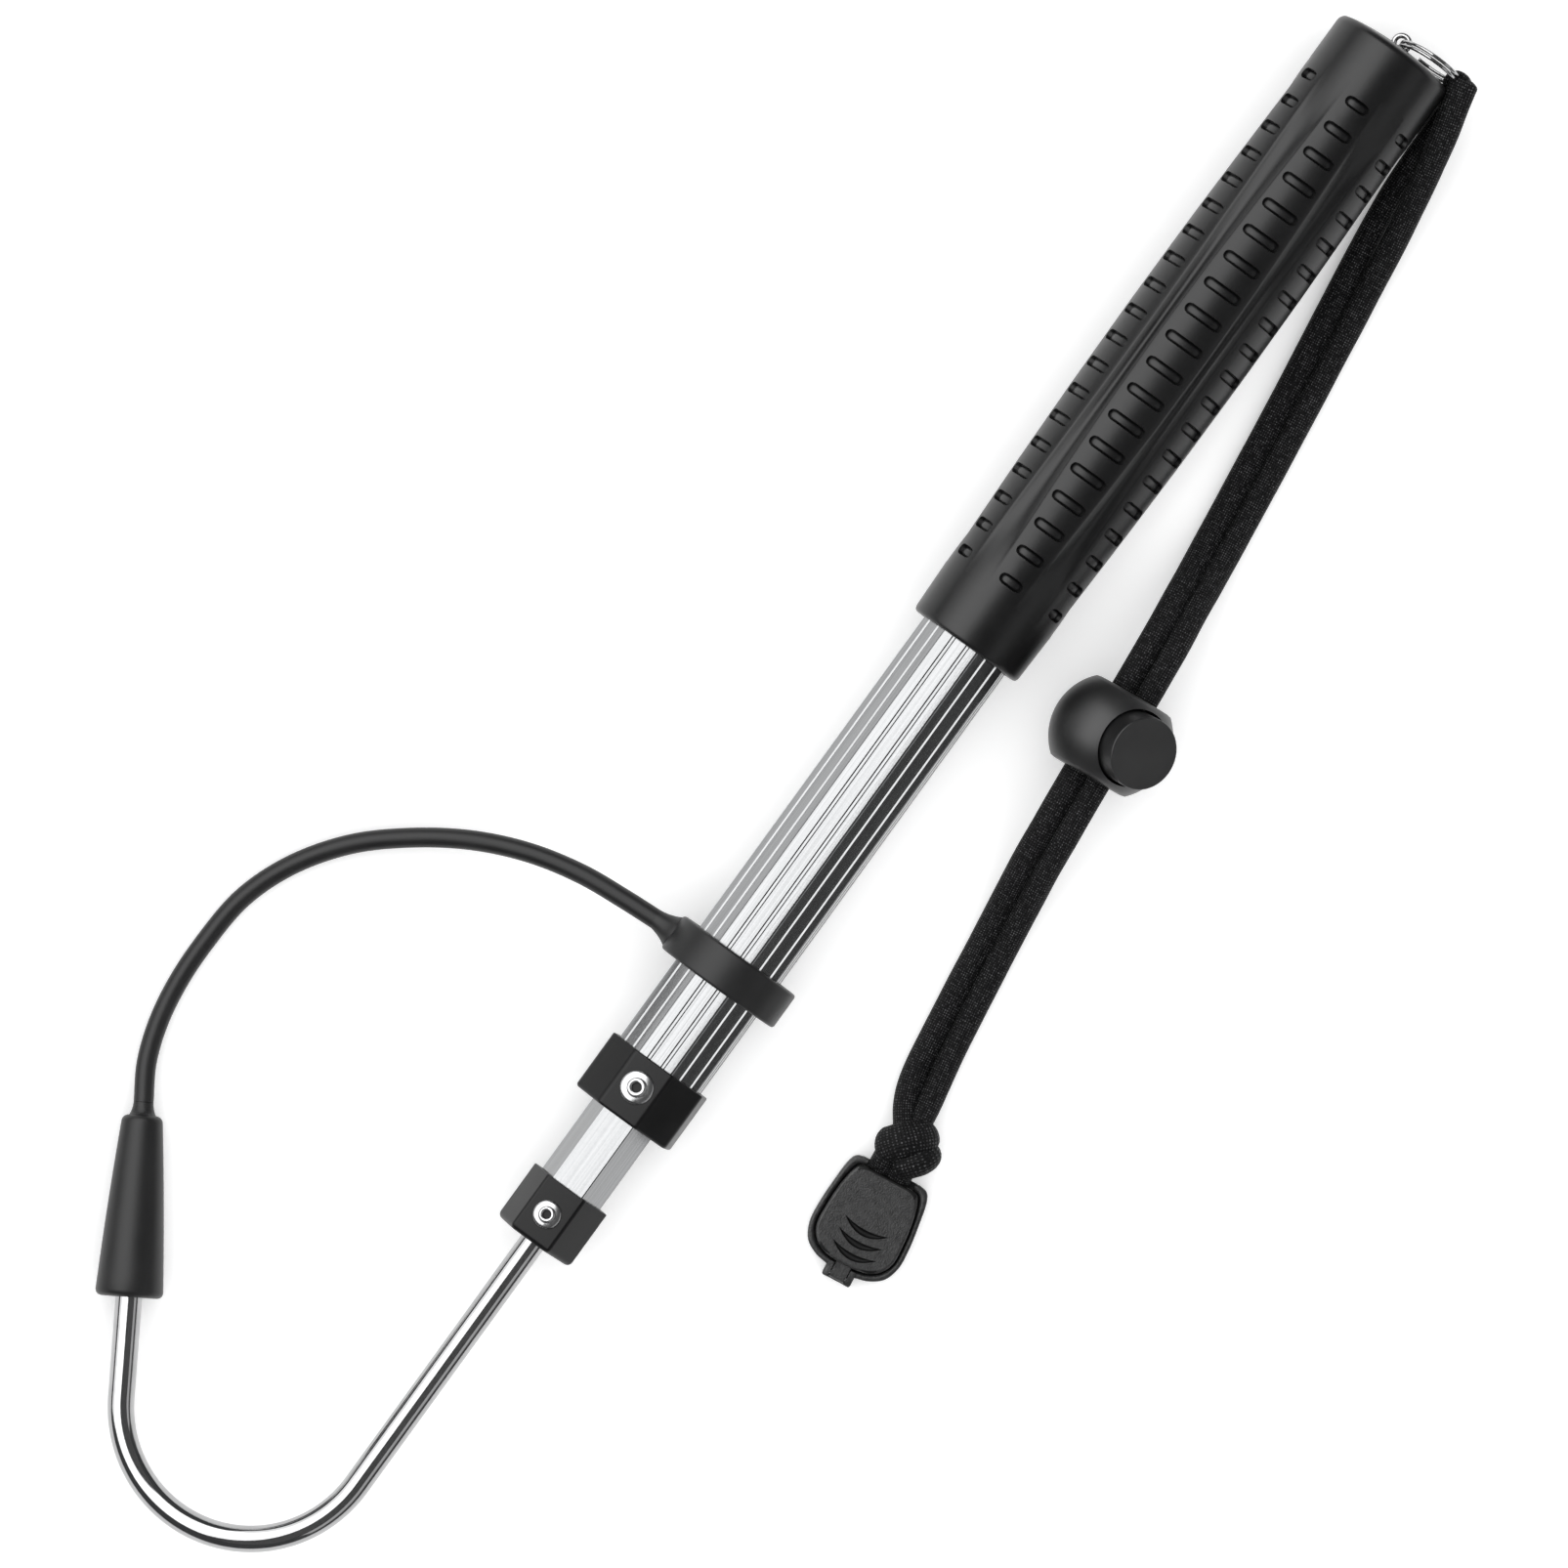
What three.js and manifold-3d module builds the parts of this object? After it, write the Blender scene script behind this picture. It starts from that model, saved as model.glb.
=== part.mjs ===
// A telescoping gaff hook lying on its side: an octagonal outer tube with a rubber grip, a hexagonal
// inner tube that slides out of it, a round-wire hook with a rubber point guard, and a doubled
// lanyard with a push-button cord lock. Millimetres. +X runs from the butt to the hook, +Y is the
// lanyard's side and +Z is up. Shapes are first made about the pole's axis, in the pole's own frame.
import * as THREE from 'three';
import { mergeVertices } from 'three/addons/utils/BufferGeometryUtils.js';
import Module from 'manifold-3d';

const wasm = await Module();
wasm.setup();

// ---- driving dimensions ----
const GAP = 0.3;                     // clearance between pieces that touch
const AXIS_HEIGHT = 19.6;            // pole axis above the surface it lies on
const ROLL = THREE.MathUtils.degToRad(6.8);    // the pole rolls until the point guard touches down

const GRIP_LENGTH = 205.6;
const GRIP_DOME = 2.0;               // the butt end bulges this far behind its rim
const TUBE_FLATS = 27.0;             // outer tube, across flats
const TUBE_WALL = 1.2;
const TUBE_BACK = 4;
const TUBE_FRONT = 366;
const FLUTE_WIDTH = 1.1;
const FLUTE_DEPTH = 0.35;
const FLUTE_OFFSET = 2.35;           // flute centres either side of each flat's middle

const OUTER_COLLAR_BACK = 351.3;
const OUTER_COLLAR_FRONT = 369.6;
const OUTER_COLLAR_FLATS = 31.2;
const OUTER_RIVET_X = 359.8;

const INNER_FLATS = 17.6;            // inner tube, across flats
const INNER_WALL = 1.0;
const INNER_BACK = 47;
const INNER_FRONT = 409;
const BUSH_BACK = 36;
const BUSH_FRONT = 60;

const INNER_COLLAR_BACK = 394.2;
const INNER_COLLAR_FRONT = 412.4;
const INNER_COLLAR_FLATS = 22.0;
const INNER_RIVET_X = 403.5;

const WIRE = 7.6;                    // hook wire diameter
const SHANK_BACK = 371;
const BEND_X = 496.9;                // centre of the bend, one bend radius below the axis
const BEND_RADIUS = 37.1;
const BEND_TURN = THREE.MathUtils.degToRad(148);
const LEG = 28.4;                    // straight wire between the bend and the guard's mouth
const COVERED = 30;                  // full-diameter wire inside the guard
const POINT = 13;                    // length of the tapered point

const CAP_LENGTH = 51.4;
const CAP_MOUTH_RADIUS = 9.6;
const CAP_TOP_RADIUS = 5.9;
const CAP_NECK = 3.6;
const BAND_BACK = 313.2;
const BAND_FRONT = 324.4;
const BAND_RADIUS = 19.4;
const TETHER = 5.7;                  // tether diameter

const EYE_X = -3.6;
const EYE_RADIUS = 2.6;              // centreline of the eye's loop
const RING_RADIUS = 9.6;             // centreline of the split ring
const RING_WIRE = 1.05;

const CORD = 6.6;                    // lanyard strand diameter
const LOCK_RADIUS = 17.6;
const LOCK_HALF_LENGTH = 13.1;
const LOCK_CENTRE = [202, 48.1, LOCK_RADIUS];
const LOCK_YAW = Math.atan(0.1);     // heading of the strands through the lock
const BUTTON_TILT = THREE.MathUtils.degToRad(31);
const BUTTON_RADIUS = 10.5;
const BUTTON_TOP = 20;
const BUTTON_BOTTOM = -7.5;
const BUTTON_TRAVEL = 4;
const WELL_RADIUS = 11.3;
const WELL_BOTTOM = -12;

const CLIP_CENTRE = [355, 73.3];
const CLIP_YAW = THREE.MathUtils.degToRad(8);

// ---- materials ----
const finish = (colour, roughness, metalness) => new THREE.MeshStandardMaterial({
  color: colour, roughness, metalness,
});
const gripRubber = finish(0x17171a, 0.6, 0);
const guardRubber = finish(0x2a2a2c, 0.55, 0);
const blackPlastic = finish(0x141416, 0.45, 0);
const brushedAluminium = finish(0xc9cbcd, 0.3, 1);
const polishedSteel = finish(0xd5d6d8, 0.12, 1);
const nylonBlack = finish(0x101012, 0.8, 0);
const rivetAluminium = finish(0xe4e5e6, 0.2, 1);

// ---- solids ----
function volumeOf(geometry) {
  const p = geometry.getAttribute('position');
  const index = geometry.index.array;
  const [a, b, c] = [new THREE.Vector3(), new THREE.Vector3(), new THREE.Vector3()];
  let sum = 0;
  for (let i = 0; i < index.length; i += 3) {
    a.fromBufferAttribute(p, index[i]);
    b.fromBufferAttribute(p, index[i + 1]);
    c.fromBufferAttribute(p, index[i + 2]);
    sum += a.dot(b.cross(c));
  }
  return sum / 6;
}

function solid(geometry) {
  const bare = geometry.clone();
  bare.deleteAttribute('normal');
  bare.deleteAttribute('uv');
  const merged = mergeVertices(bare, 1e-4);
  const triVerts = new Uint32Array(merged.index.array);
  if (volumeOf(merged) < 0) {
    for (let i = 0; i < triVerts.length; i += 3) {
      [triVerts[i + 1], triVerts[i + 2]] = [triVerts[i + 2], triVerts[i + 1]];
    }
  }
  const vertProperties = new Float32Array(merged.getAttribute('position').array);
  return new wasm.Manifold(new wasm.Mesh({ numProp: 3, vertProperties, triVerts }));
}

function geometryOf(manifold) {
  const mesh = manifold.getMesh();
  const geometry = new THREE.BufferGeometry();
  geometry.setAttribute('position', new THREE.BufferAttribute(mesh.vertProperties, 3));
  geometry.setIndex(new THREE.BufferAttribute(mesh.triVerts, 1));
  geometry.computeVertexNormals();
  return geometry;
}

function cut(geometry, ...tools) {
  let body = solid(geometry);
  for (const tool of tools) {
    body = body.subtract(solid(tool));
  }
  return geometryOf(body);
}

function join(geometry, ...others) {
  let body = solid(geometry);
  for (const other of others) {
    body = body.add(solid(other));
  }
  return geometryOf(body);
}

const shapeOf = (points) => new THREE.Shape(points.map(([x, y]) => new THREE.Vector2(x, y)));

// A regular outline with a flat on top, its corners cut back by `bevel` along each side.
function polygon(sides, flats, bevel = 0) {
  const radius = flats / 2 / Math.cos(Math.PI / sides);
  const corner = (k) => {
    const angle = Math.PI / 2 + ((k + 0.5) * 2 * Math.PI) / sides;
    return new THREE.Vector2(radius * Math.cos(angle), radius * Math.sin(angle));
  };
  const points = [];
  for (let k = 0; k < sides; k += 1) {
    const here = corner(k);
    if (bevel === 0) {
      points.push([here.x, here.y]);
      continue;
    }
    for (const next of [corner(k - 1), corner(k + 1)]) {
      const step = next.sub(here).setLength(bevel);
      points.push([here.x + step.x, here.y + step.y]);
    }
  }
  return points;
}

// Stands a geometry drawn in the XY plane and grown along Z on the pole: X right to Y, Z to +X.
const alongPole = (geometry, back) => {
  const turn = new THREE.Matrix4().makeBasis(
    new THREE.Vector3(0, 1, 0), new THREE.Vector3(0, 0, 1), new THREE.Vector3(1, 0, 0),
  );
  return geometry.applyMatrix4(turn).translate(back, 0, 0);
};

function prism(points, back, front, hole = null) {
  const shape = shapeOf(points);
  if (hole) {
    shape.holes.push(new THREE.Path(hole.map(([x, y]) => new THREE.Vector2(x, y))));
  }
  return alongPole(
    new THREE.ExtrudeGeometry(shape, { depth: front - back, bevelEnabled: false }), back,
  );
}

// A turned piece: profile points are [radius, distance along the axis]; the axis becomes +X.
function turned(profile, segments) {
  const points = profile.map(([r, d]) => new THREE.Vector2(r, d));
  return new THREE.LatheGeometry(points, segments).rotateZ(-Math.PI / 2);
}

// The same with its axis along +Z.
const turnedUp = (profile, segments) => turned(profile, segments).rotateY(-Math.PI / 2);

function roundSection(radius, sides) {
  const outline = [];
  for (let k = 0; k < sides; k += 1) {
    const angle = ((k + 0.5) * 2 * Math.PI) / sides;
    outline.push([radius * Math.cos(angle), radius * Math.sin(angle)]);
  }
  return shapeOf(outline);
}

const sweep = (curve, radius, sides, steps) => new THREE.ExtrudeGeometry(
  roundSection(radius, sides), { steps, extrudePath: curve, bevelEnabled: false },
);

const smoothPath = (points) => new THREE.CatmullRomCurve3(
  points.map(([x, y, z]) => new THREE.Vector3(x, y, z)), false, 'centripetal',
);

// ---- the scene graph ----
const group = new THREE.Group();
const pole = new THREE.Group();
pole.position.z = AXIS_HEIGHT;
pole.rotation.x = ROLL;
group.add(pole);

function node(parent, name, geometry, material) {
  const mesh = new THREE.Mesh(geometry, material);
  mesh.name = name;
  parent.add(mesh);
  return mesh;
}

// ---- grip: a moulded rubber sleeve, barrel-shaped, with a domed butt ----
const gripBarrel = [
  [18.6, 1.6], [18.8, 20], [19.1, 40], [19.5, 70], [19.6, 100], [19.4, 130], [18.9, 160],
  [18.2, 188], [17.7, GRIP_LENGTH - 1.2], [16.9, GRIP_LENGTH],
];
const gripProfile = [
  [0, -GRIP_DOME], [6, -GRIP_DOME + 0.1], [11, -GRIP_DOME + 0.4], [15, -GRIP_DOME + 1.0],
  [17, -GRIP_DOME + 1.6], [18.1, 0.4], ...gripBarrel, [0, GRIP_LENGTH],
];
const tubeRoom = prism(polygon(8, TUBE_FLATS + 2 * GAP), TUBE_BACK - GAP, GRIP_LENGTH + 5);
const eyeRoom = turned([[0, -5], [4.1, -5], [4.1, 0], [1.9, 0], [1.9, 8], [0, 8]], 20);
const grip = new THREE.Group();
grip.position.z = AXIS_HEIGHT;
group.add(grip);
node(grip, 'grip', cut(turned(gripProfile, 48), tubeRoom.rotateX(ROLL), eyeRoom), gripRubber);

// ---- outer tube: extruded octagon with two shallow flutes along each flat ----
function flutedOctagon(flats) {
  const outline = [];
  const half = flats / 2;
  const halfSide = half * Math.tan(Math.PI / 8);
  for (let k = 0; k < 8; k += 1) {
    const turn = (k * Math.PI) / 4;
    const along = [halfSide];
    for (const centre of [FLUTE_OFFSET, -FLUTE_OFFSET]) {
      along.push(centre + FLUTE_WIDTH / 2, centre + FLUTE_WIDTH / 4);
      along.push(centre - FLUTE_WIDTH / 4, centre - FLUTE_WIDTH / 2);
    }
    along.forEach((u, i) => {
      const inFlute = i % 4 === 2 || i % 4 === 3;
      const v = inFlute ? half - FLUTE_DEPTH : half;
      outline.push([
        u * Math.cos(turn) - v * Math.sin(turn), u * Math.sin(turn) + v * Math.cos(turn),
      ]);
    });
  }
  return outline;
}
const tubeBore = TUBE_FLATS - 2 * TUBE_WALL;
const rivetBore = (x, radius, low, high) => turnedUp(
  [[0, low], [radius, low], [radius, high], [0, high]], 16,
).translate(x, 0, 0);
const outerTube = prism(flutedOctagon(TUBE_FLATS), TUBE_BACK, TUBE_FRONT, polygon(8, tubeBore));
node(pole, 'outer_tube', cut(outerTube, rivetBore(OUTER_RIVET_X, 2.7, 5, 20)), brushedAluminium);

// ---- butt plug and screw eye: the plug closes the tube and holds the eye's thread ----
const plugBack = 5;
const plugFront = 30;
const threadRoom = turned([[0, -1], [1.8, -1], [1.8, 24], [0, 24]], 14);
node(pole, 'butt_plug', cut(prism(polygon(8, tubeBore - 2 * GAP), plugBack, plugFront), threadRoom),
  blackPlastic);

const eyeLoop = new THREE.TorusGeometry(EYE_RADIUS, 0.9, 8, 24).translate(EYE_X, 0, 0);
const eyeShank = turned([[0, -1.4], [1.0, -1.4], [1.5, 0.4], [1.5, 21], [0, 23]], 12);
node(pole, 'butt_eye', join(eyeLoop, eyeShank), polishedSteel);

// ---- outer collar: a moulded octagonal sleeve over the tube's end, hexagonal at its mouth ----
const outerCollar = prism(polygon(8, OUTER_COLLAR_FLATS, 1.2), OUTER_COLLAR_BACK,
  OUTER_COLLAR_FRONT);
const outerPocket = prism(polygon(8, TUBE_FLATS + 2 * GAP), OUTER_COLLAR_BACK - 1,
  TUBE_FRONT + GAP);
const outerMouth = prism(polygon(6, INNER_FLATS + 2 * GAP), TUBE_FRONT - 1,
  OUTER_COLLAR_FRONT + 1);
node(pole, 'outer_collar',
  cut(outerCollar, outerPocket, outerMouth, rivetBore(OUTER_RIVET_X, 2.7, 5, 20)), blackPlastic);

// ---- blind rivets: a domed flange, a hollow stem and a swollen tail under the tube wall ----
function rivet(seat, tail, stem, flange, hole, deep) {
  const tailRadius = stem + 0.6;
  return turnedUp([
    [0, tail], [tailRadius - 0.5, tail], [tailRadius, tail + 0.6], [tailRadius, deep - 0.2],
    [stem, deep], [stem, seat], [flange, seat], [flange, seat + 0.35], [flange - 0.5, seat + 0.8],
    [flange - 1.7, seat + 1.1], [hole + 0.9, seat + 1.2], [hole, seat + 0.9], [hole, seat - 1.5],
    [0, seat - 1.5],
  ], 24);
}
const outerSeat = OUTER_COLLAR_FLATS / 2 + GAP;
const underTube = tubeBore / 2 - GAP;
node(pole, 'outer_rivet',
  rivet(outerSeat, underTube - 2, 2.4, 4.8, 1.4, underTube).translate(OUTER_RIVET_X, 0, 0),
  rivetAluminium);

// ---- inner tube with its rear bush and friction ring ----
const innerBore = INNER_FLATS - 2 * INNER_WALL;
node(pole, 'inner_tube',
  cut(prism(polygon(6, INNER_FLATS), INNER_BACK, INNER_FRONT, polygon(6, innerBore)),
    rivetBore(INNER_RIVET_X, 2.3, 4, 20)), brushedAluminium);

const bushSocket = prism(polygon(6, INNER_FLATS + 2 * GAP), INNER_BACK - GAP, BUSH_FRONT + 1);
const ringGroove = turned([[9.4, 39], [20, 39], [20, 43], [9.4, 43], [9.4, 39]], 32);
node(pole, 'rear_bush',
  cut(prism(polygon(8, tubeBore - 2 * GAP), BUSH_BACK, BUSH_FRONT), bushSocket, ringGroove),
  blackPlastic);
node(pole, 'friction_ring', turned([
  [9.8, 39.6], [11.2, 39.4], [12.0, 40.2], [12.0, 41.8], [11.2, 42.6], [9.8, 42.4], [9.8, 39.6],
], 32), gripRubber);

// ---- inner collar, hook plug, rivet and nut: they hold the hook's shank in the inner tube ----
const wireRoom = turned([
  [0, SHANK_BACK - 5], [WIRE / 2 + GAP, SHANK_BACK - 5], [WIRE / 2 + GAP, 430], [0, 430],
], 24);
const innerCollar = prism(polygon(6, INNER_COLLAR_FLATS, 0.9), INNER_COLLAR_BACK,
  INNER_COLLAR_FRONT);
const innerPocket = prism(polygon(6, INNER_FLATS + 2 * GAP), INNER_COLLAR_BACK - 1,
  INNER_FRONT + GAP);
node(pole, 'inner_collar',
  cut(innerCollar, innerPocket, wireRoom, rivetBore(INNER_RIVET_X, 2.3, 4, 20)), blackPlastic);
node(pole, 'hook_plug',
  cut(prism(polygon(6, innerBore - 2 * GAP), 381, INNER_FRONT - 0.5), wireRoom,
    rivetBore(INNER_RIVET_X, 2.3, 4.5, 20)), blackPlastic);
const innerSeat = INNER_COLLAR_FLATS / 2 + GAP;
node(pole, 'inner_rivet', turnedUp([
  [0, 5], [2.0, 5], [2.0, innerSeat], [4.1, innerSeat], [4.1, innerSeat + 0.35],
  [3.6, innerSeat + 0.75], [2.6, innerSeat + 1.0], [2.0, innerSeat + 1.1], [1.2, innerSeat + 0.8],
  [1.2, innerSeat - 1.5], [0, innerSeat - 1.5],
], 24).translate(INNER_RIVET_X, 0, 0), rivetAluminium);
node(pole, 'hook_nut', cut(prism(polygon(6, 13), 374.5, 380.7), wireRoom), polishedSteel);

// ---- hook: straight shank, round bend, and a leg that comes back to a tapered point ----
const legAngle = Math.PI / 2 - BEND_TURN;
const bendEnd = new THREE.Vector3(
  BEND_X + BEND_RADIUS * Math.cos(legAngle), -BEND_RADIUS + BEND_RADIUS * Math.sin(legAngle), 0,
);
const tipWay = new THREE.Vector3(Math.sin(legAngle), -Math.cos(legAngle), 0);
class Bend extends THREE.Curve {
  getPoint(t, target = new THREE.Vector3()) {
    const angle = Math.PI / 2 - t * BEND_TURN;
    return target.set(
      BEND_X + BEND_RADIUS * Math.cos(angle), -BEND_RADIUS + BEND_RADIUS * Math.sin(angle), 0,
    );
  }
}
const HOOK_SIDES = 16;
const placedOnLeg = (geometry, distance) => {
  const across = new THREE.Vector3(-tipWay.y, tipWay.x, 0);
  const at = bendEnd.clone().addScaledVector(tipWay, distance);
  const turn = new THREE.Matrix4().makeBasis(tipWay, across, new THREE.Vector3(0, 0, 1));
  return geometry.applyMatrix4(turn.setPosition(at));
};
const wireTurned = (profile) => turned(profile, HOOK_SIDES).rotateX(Math.PI / HOOK_SIDES);
const wireRadius = WIRE / 2;
const shank = wireTurned([
  [0, SHANK_BACK], [wireRadius, SHANK_BACK], [wireRadius, BEND_X + 0.1], [0, BEND_X + 0.1],
]);
const bend = sweep(new Bend(), wireRadius, HOOK_SIDES, 30);
const legTip = wireTurned([
  [0, -0.1], [wireRadius, -0.1], [wireRadius, LEG + COVERED],
  [wireRadius * 0.55, LEG + COVERED + POINT * 0.6], [0, LEG + COVERED + POINT],
]);
node(pole, 'hook', join(shank, bend, placedOnLeg(legTip, 0)), polishedSteel);

// ---- point guard: a cone cap, a round tether in two stretches and a band round the tube ----
const boreRadius = wireRadius + GAP;
const capProfile = [
  [boreRadius, 0], [CAP_MOUTH_RADIUS - 1.4, 0], [CAP_MOUTH_RADIUS - 0.3, 0.6],
  [CAP_MOUTH_RADIUS, 2.2], [CAP_TOP_RADIUS, CAP_LENGTH - 2], [CAP_TOP_RADIUS - 0.9, CAP_LENGTH],
  [TETHER / 2, CAP_LENGTH + CAP_NECK], [0, CAP_LENGTH + CAP_NECK],
  [0, COVERED + POINT + 3], [boreRadius * 0.5, COVERED + POINT * 0.6 + 3],
  [boreRadius, COVERED + 2.5], [boreRadius, 0],
];
node(pole, 'guard_cap', placedOnLeg(turned(capProfile, 28), LEG), guardRubber);

const bandRing = turned([
  [TUBE_FLATS / 2 / Math.cos(Math.PI / 8) + GAP, BAND_BACK], [BAND_RADIUS - 0.7, BAND_BACK],
  [BAND_RADIUS, BAND_BACK + 0.7], [BAND_RADIUS, BAND_FRONT - 0.7], [BAND_RADIUS - 0.7, BAND_FRONT],
  [TUBE_FLATS / 2 / Math.cos(Math.PI / 8) + GAP, BAND_FRONT],
  [TUBE_FLATS / 2 / Math.cos(Math.PI / 8) + GAP, BAND_BACK],
], 40);
const bandMiddle = (BAND_BACK + BAND_FRONT) / 2;
const bandLug = turned([
  [0, 17.5], [5.2, 17.5], [4.6, 20.4], [3.4, 22.4], [TETHER / 2, 25], [0, 25],
], 16).rotateZ(-Math.PI / 2).translate(bandMiddle, 0, 0);
node(pole, 'guard_band', join(bandRing, bandLug), guardRubber);

// The tether arches in the hook's plane and sags a little towards the surface.
const neckEnd = bendEnd.clone().addScaledVector(tipWay, LEG + CAP_LENGTH + CAP_NECK + GAP);
const tetherFromBand = [
  [bandMiddle, -25 - GAP, 0], [319.6, -36, -0.2], [321.2, -50, -0.5], [325.4, -65.4, -0.9],
  [332.5, -80.6, -1.3], [342.4, -95, -1.6], [354, -108, -1.8], [368, -118, -1.9],
  [383, -123.6, -1.9], [399.8, -125.1, -1.8],
];
const tetherToCap = [
  [400.2, -125.1, -1.8], [413, -124.6, -1.6], [425, -122.5, -1.1], [436, -118.6, -0.5],
  [neckEnd.x, neckEnd.y, 0],
];
node(pole, 'tether_band_half', sweep(smoothPath(tetherFromBand), TETHER / 2, 8, 24), guardRubber);
node(pole, 'tether_cap_half', sweep(smoothPath(tetherToCap), TETHER / 2, 8, 10), guardRubber);

// ---- split ring: two turns of round wire, standing across the pole's axis, through the eye ----
class RingTurns extends THREE.Curve {
  getPoint(t, target = new THREE.Vector3()) {
    const angle = -Math.PI * 0.6 + t * 3.9 * Math.PI;
    return target.set(
      EYE_X + (t - 0.5) * 2.05 * RING_WIRE * 1.12,
      RING_RADIUS + RING_RADIUS * Math.cos(angle), AXIS_HEIGHT + RING_RADIUS * Math.sin(angle),
    );
  }
}
node(group, 'split_ring', sweep(new RingTurns(), RING_WIRE / 2, 6, 64), polishedSteel);

// ---- lanyard: one cord folded through the split ring, its strands side by side ----
const H = AXIS_HEIGHT;
const foldRoute = [
  [-3.0, 22.7, H + 1.2], [-5.0, 22.4, H + 1.2], [-6.5, 20.6, H + 1.0], [-6.2, 18.2, H + 0.5],
  [-4.2, 16.5, H], [-2.2, 16.9, H - 0.6], [-0.95, 18.9, H - 1.8], [-0.6, 20.6, H - 3.6],
];
node(group, 'lanyard_fold', sweep(smoothPath(foldRoute), 1.1, 8, 22), nylonBlack);

const strandA = [
  [-2.6, 22.9, H + 1.2], [10, 24.7, 19.0], [20, 26.8, 16.0], [30, 28.8, 12.4], [40, 30.6, 9.2],
  [60, 33.7, 5.2], [80, 36.6, 3.8], [100, 39.4, 3.6], [120, 42.0, 3.6], [138, 44.3, 4.6],
  [150, 45.8, 8.4], [160, 47.0, 13.6], [172, 48.6, LOCK_RADIUS], [187, 50.1, LOCK_RADIUS],
  [202, 51.6, LOCK_RADIUS], [217, 53.1, LOCK_RADIUS], [232, 54.6, LOCK_RADIUS],
  [244, 56.0, 13.6], [254, 57.3, 8.4], [266, 58.9, 4.6], [282, 61.3, 3.6], [300, 64.2, 3.6],
  [310, 66.2, 4.0], [319, 68.0, 5.4],
];
const strandB = [
  [-0.4, 22.2, 13.0], [10, 22.0, 11.4], [20, 22.1, 9.4], [30, 22.5, 7.2], [40, 23.5, 5.6],
  [60, 26.0, 4.0], [80, 29.0, 3.6], [100, 31.9, 3.6], [120, 34.7, 3.6], [138, 37.3, 4.6],
  [150, 38.9, 8.4], [160, 40.2, 13.6], [172, 41.6, LOCK_RADIUS], [187, 43.1, LOCK_RADIUS],
  [202, 44.6, LOCK_RADIUS], [217, 46.1, LOCK_RADIUS], [232, 47.6, LOCK_RADIUS],
  [244, 49.0, 13.6], [254, 50.3, 8.4], [266, 52.0, 4.6], [282, 54.3, 3.6], [300, 57.2, 3.6],
  [310, 58.9, 3.8], [318.4, 60.9, 4.6],
];
node(group, 'lanyard_strand_a', sweep(smoothPath(strandA), CORD / 2, 8, 40), nylonBlack);
node(group, 'lanyard_strand_b', sweep(smoothPath(strandB), CORD / 2, 8, 40), nylonBlack);

const knot = new THREE.SphereGeometry(1, 20, 12).scale(7.3, 8.8, 7.4).translate(328, 70.4, 7.5);
node(group, 'lanyard_knot', geometryOf(solid(knot)), nylonBlack);

// ---- cord lock: a ball cut flat at both ends, a sprung button across it and a slot for the cord ----
const lock = new THREE.Group();
lock.position.set(...LOCK_CENTRE);
lock.rotation.z = LOCK_YAW;
group.add(lock);

const tilted = (geometry) => geometry.rotateX(-BUTTON_TILT);
const slotted = (halfWidth, halfHeight, halfLength) => {
  const outline = new THREE.Shape();
  const inner = halfWidth - halfHeight;
  outline.absarc(inner, 0, halfHeight, -Math.PI / 2, Math.PI / 2, false);
  outline.absarc(-inner, 0, halfHeight, Math.PI / 2, (3 * Math.PI) / 2, false);
  const geometry = new THREE.ExtrudeGeometry(outline, {
    depth: 2 * halfLength, bevelEnabled: false, curveSegments: 8,
  });
  return alongPole(geometry, -halfLength);
};
const strandHalfGap = 3.55;
const passage = slotted(strandHalfGap + CORD / 2 + 0.5, CORD / 2 + 0.5, LOCK_RADIUS + 2);
const ballArc = [];
const ballStart = Math.asin(LOCK_HALF_LENGTH / LOCK_RADIUS);
for (let k = 0; k <= 10; k += 1) {
  const angle = -ballStart + (2 * ballStart * k) / 10;
  ballArc.push([LOCK_RADIUS * Math.cos(angle), LOCK_RADIUS * Math.sin(angle)]);
}
const ball = turned([[0, -LOCK_HALF_LENGTH], ...ballArc, [0, LOCK_HALF_LENGTH]], 40);
const well = tilted(turnedUp([
  [0, WELL_BOTTOM], [WELL_RADIUS, WELL_BOTTOM], [WELL_RADIUS, 25], [0, 25],
], 32));
node(lock, 'lock_body', cut(ball, well, passage), blackPlastic);

// The button's window is longer than the cord is thick, so that the cord stays clear as it is pressed.
const windowHalfWidth = strandHalfGap * Math.cos(BUTTON_TILT) + CORD / 2 + 0.5;
const windowReach = strandHalfGap * Math.sin(BUTTON_TILT) + CORD / 2;
const windowLow = -windowReach - 0.4;
const windowHigh = windowReach + BUTTON_TRAVEL + 0.6;
const cordWindow = new THREE.BoxGeometry(40, 2 * windowHalfWidth, windowHigh - windowLow)
  .translate(0, 0, (windowHigh + windowLow) / 2);
const button = turnedUp([
  [0, BUTTON_BOTTOM], [BUTTON_RADIUS, BUTTON_BOTTOM], [BUTTON_RADIUS, BUTTON_TOP - 0.7],
  [BUTTON_RADIUS - 0.7, BUTTON_TOP], [0, BUTTON_TOP],
], 32);
node(lock, 'lock_button', tilted(cut(button, cordWindow)), blackPlastic);

class SpringTurns extends THREE.Curve {
  getPoint(t, target = new THREE.Vector3()) {
    const angle = t * 5 * Math.PI;
    const low = WELL_BOTTOM + 0.8;
    const high = BUTTON_BOTTOM - 0.8;
    return target.set(6 * Math.cos(angle), 6 * Math.sin(angle), low + (high - low) * t);
  }
}
node(lock, 'lock_spring', tilted(sweep(new SpringTurns(), 0.4, 6, 40)), polishedSteel);

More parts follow.
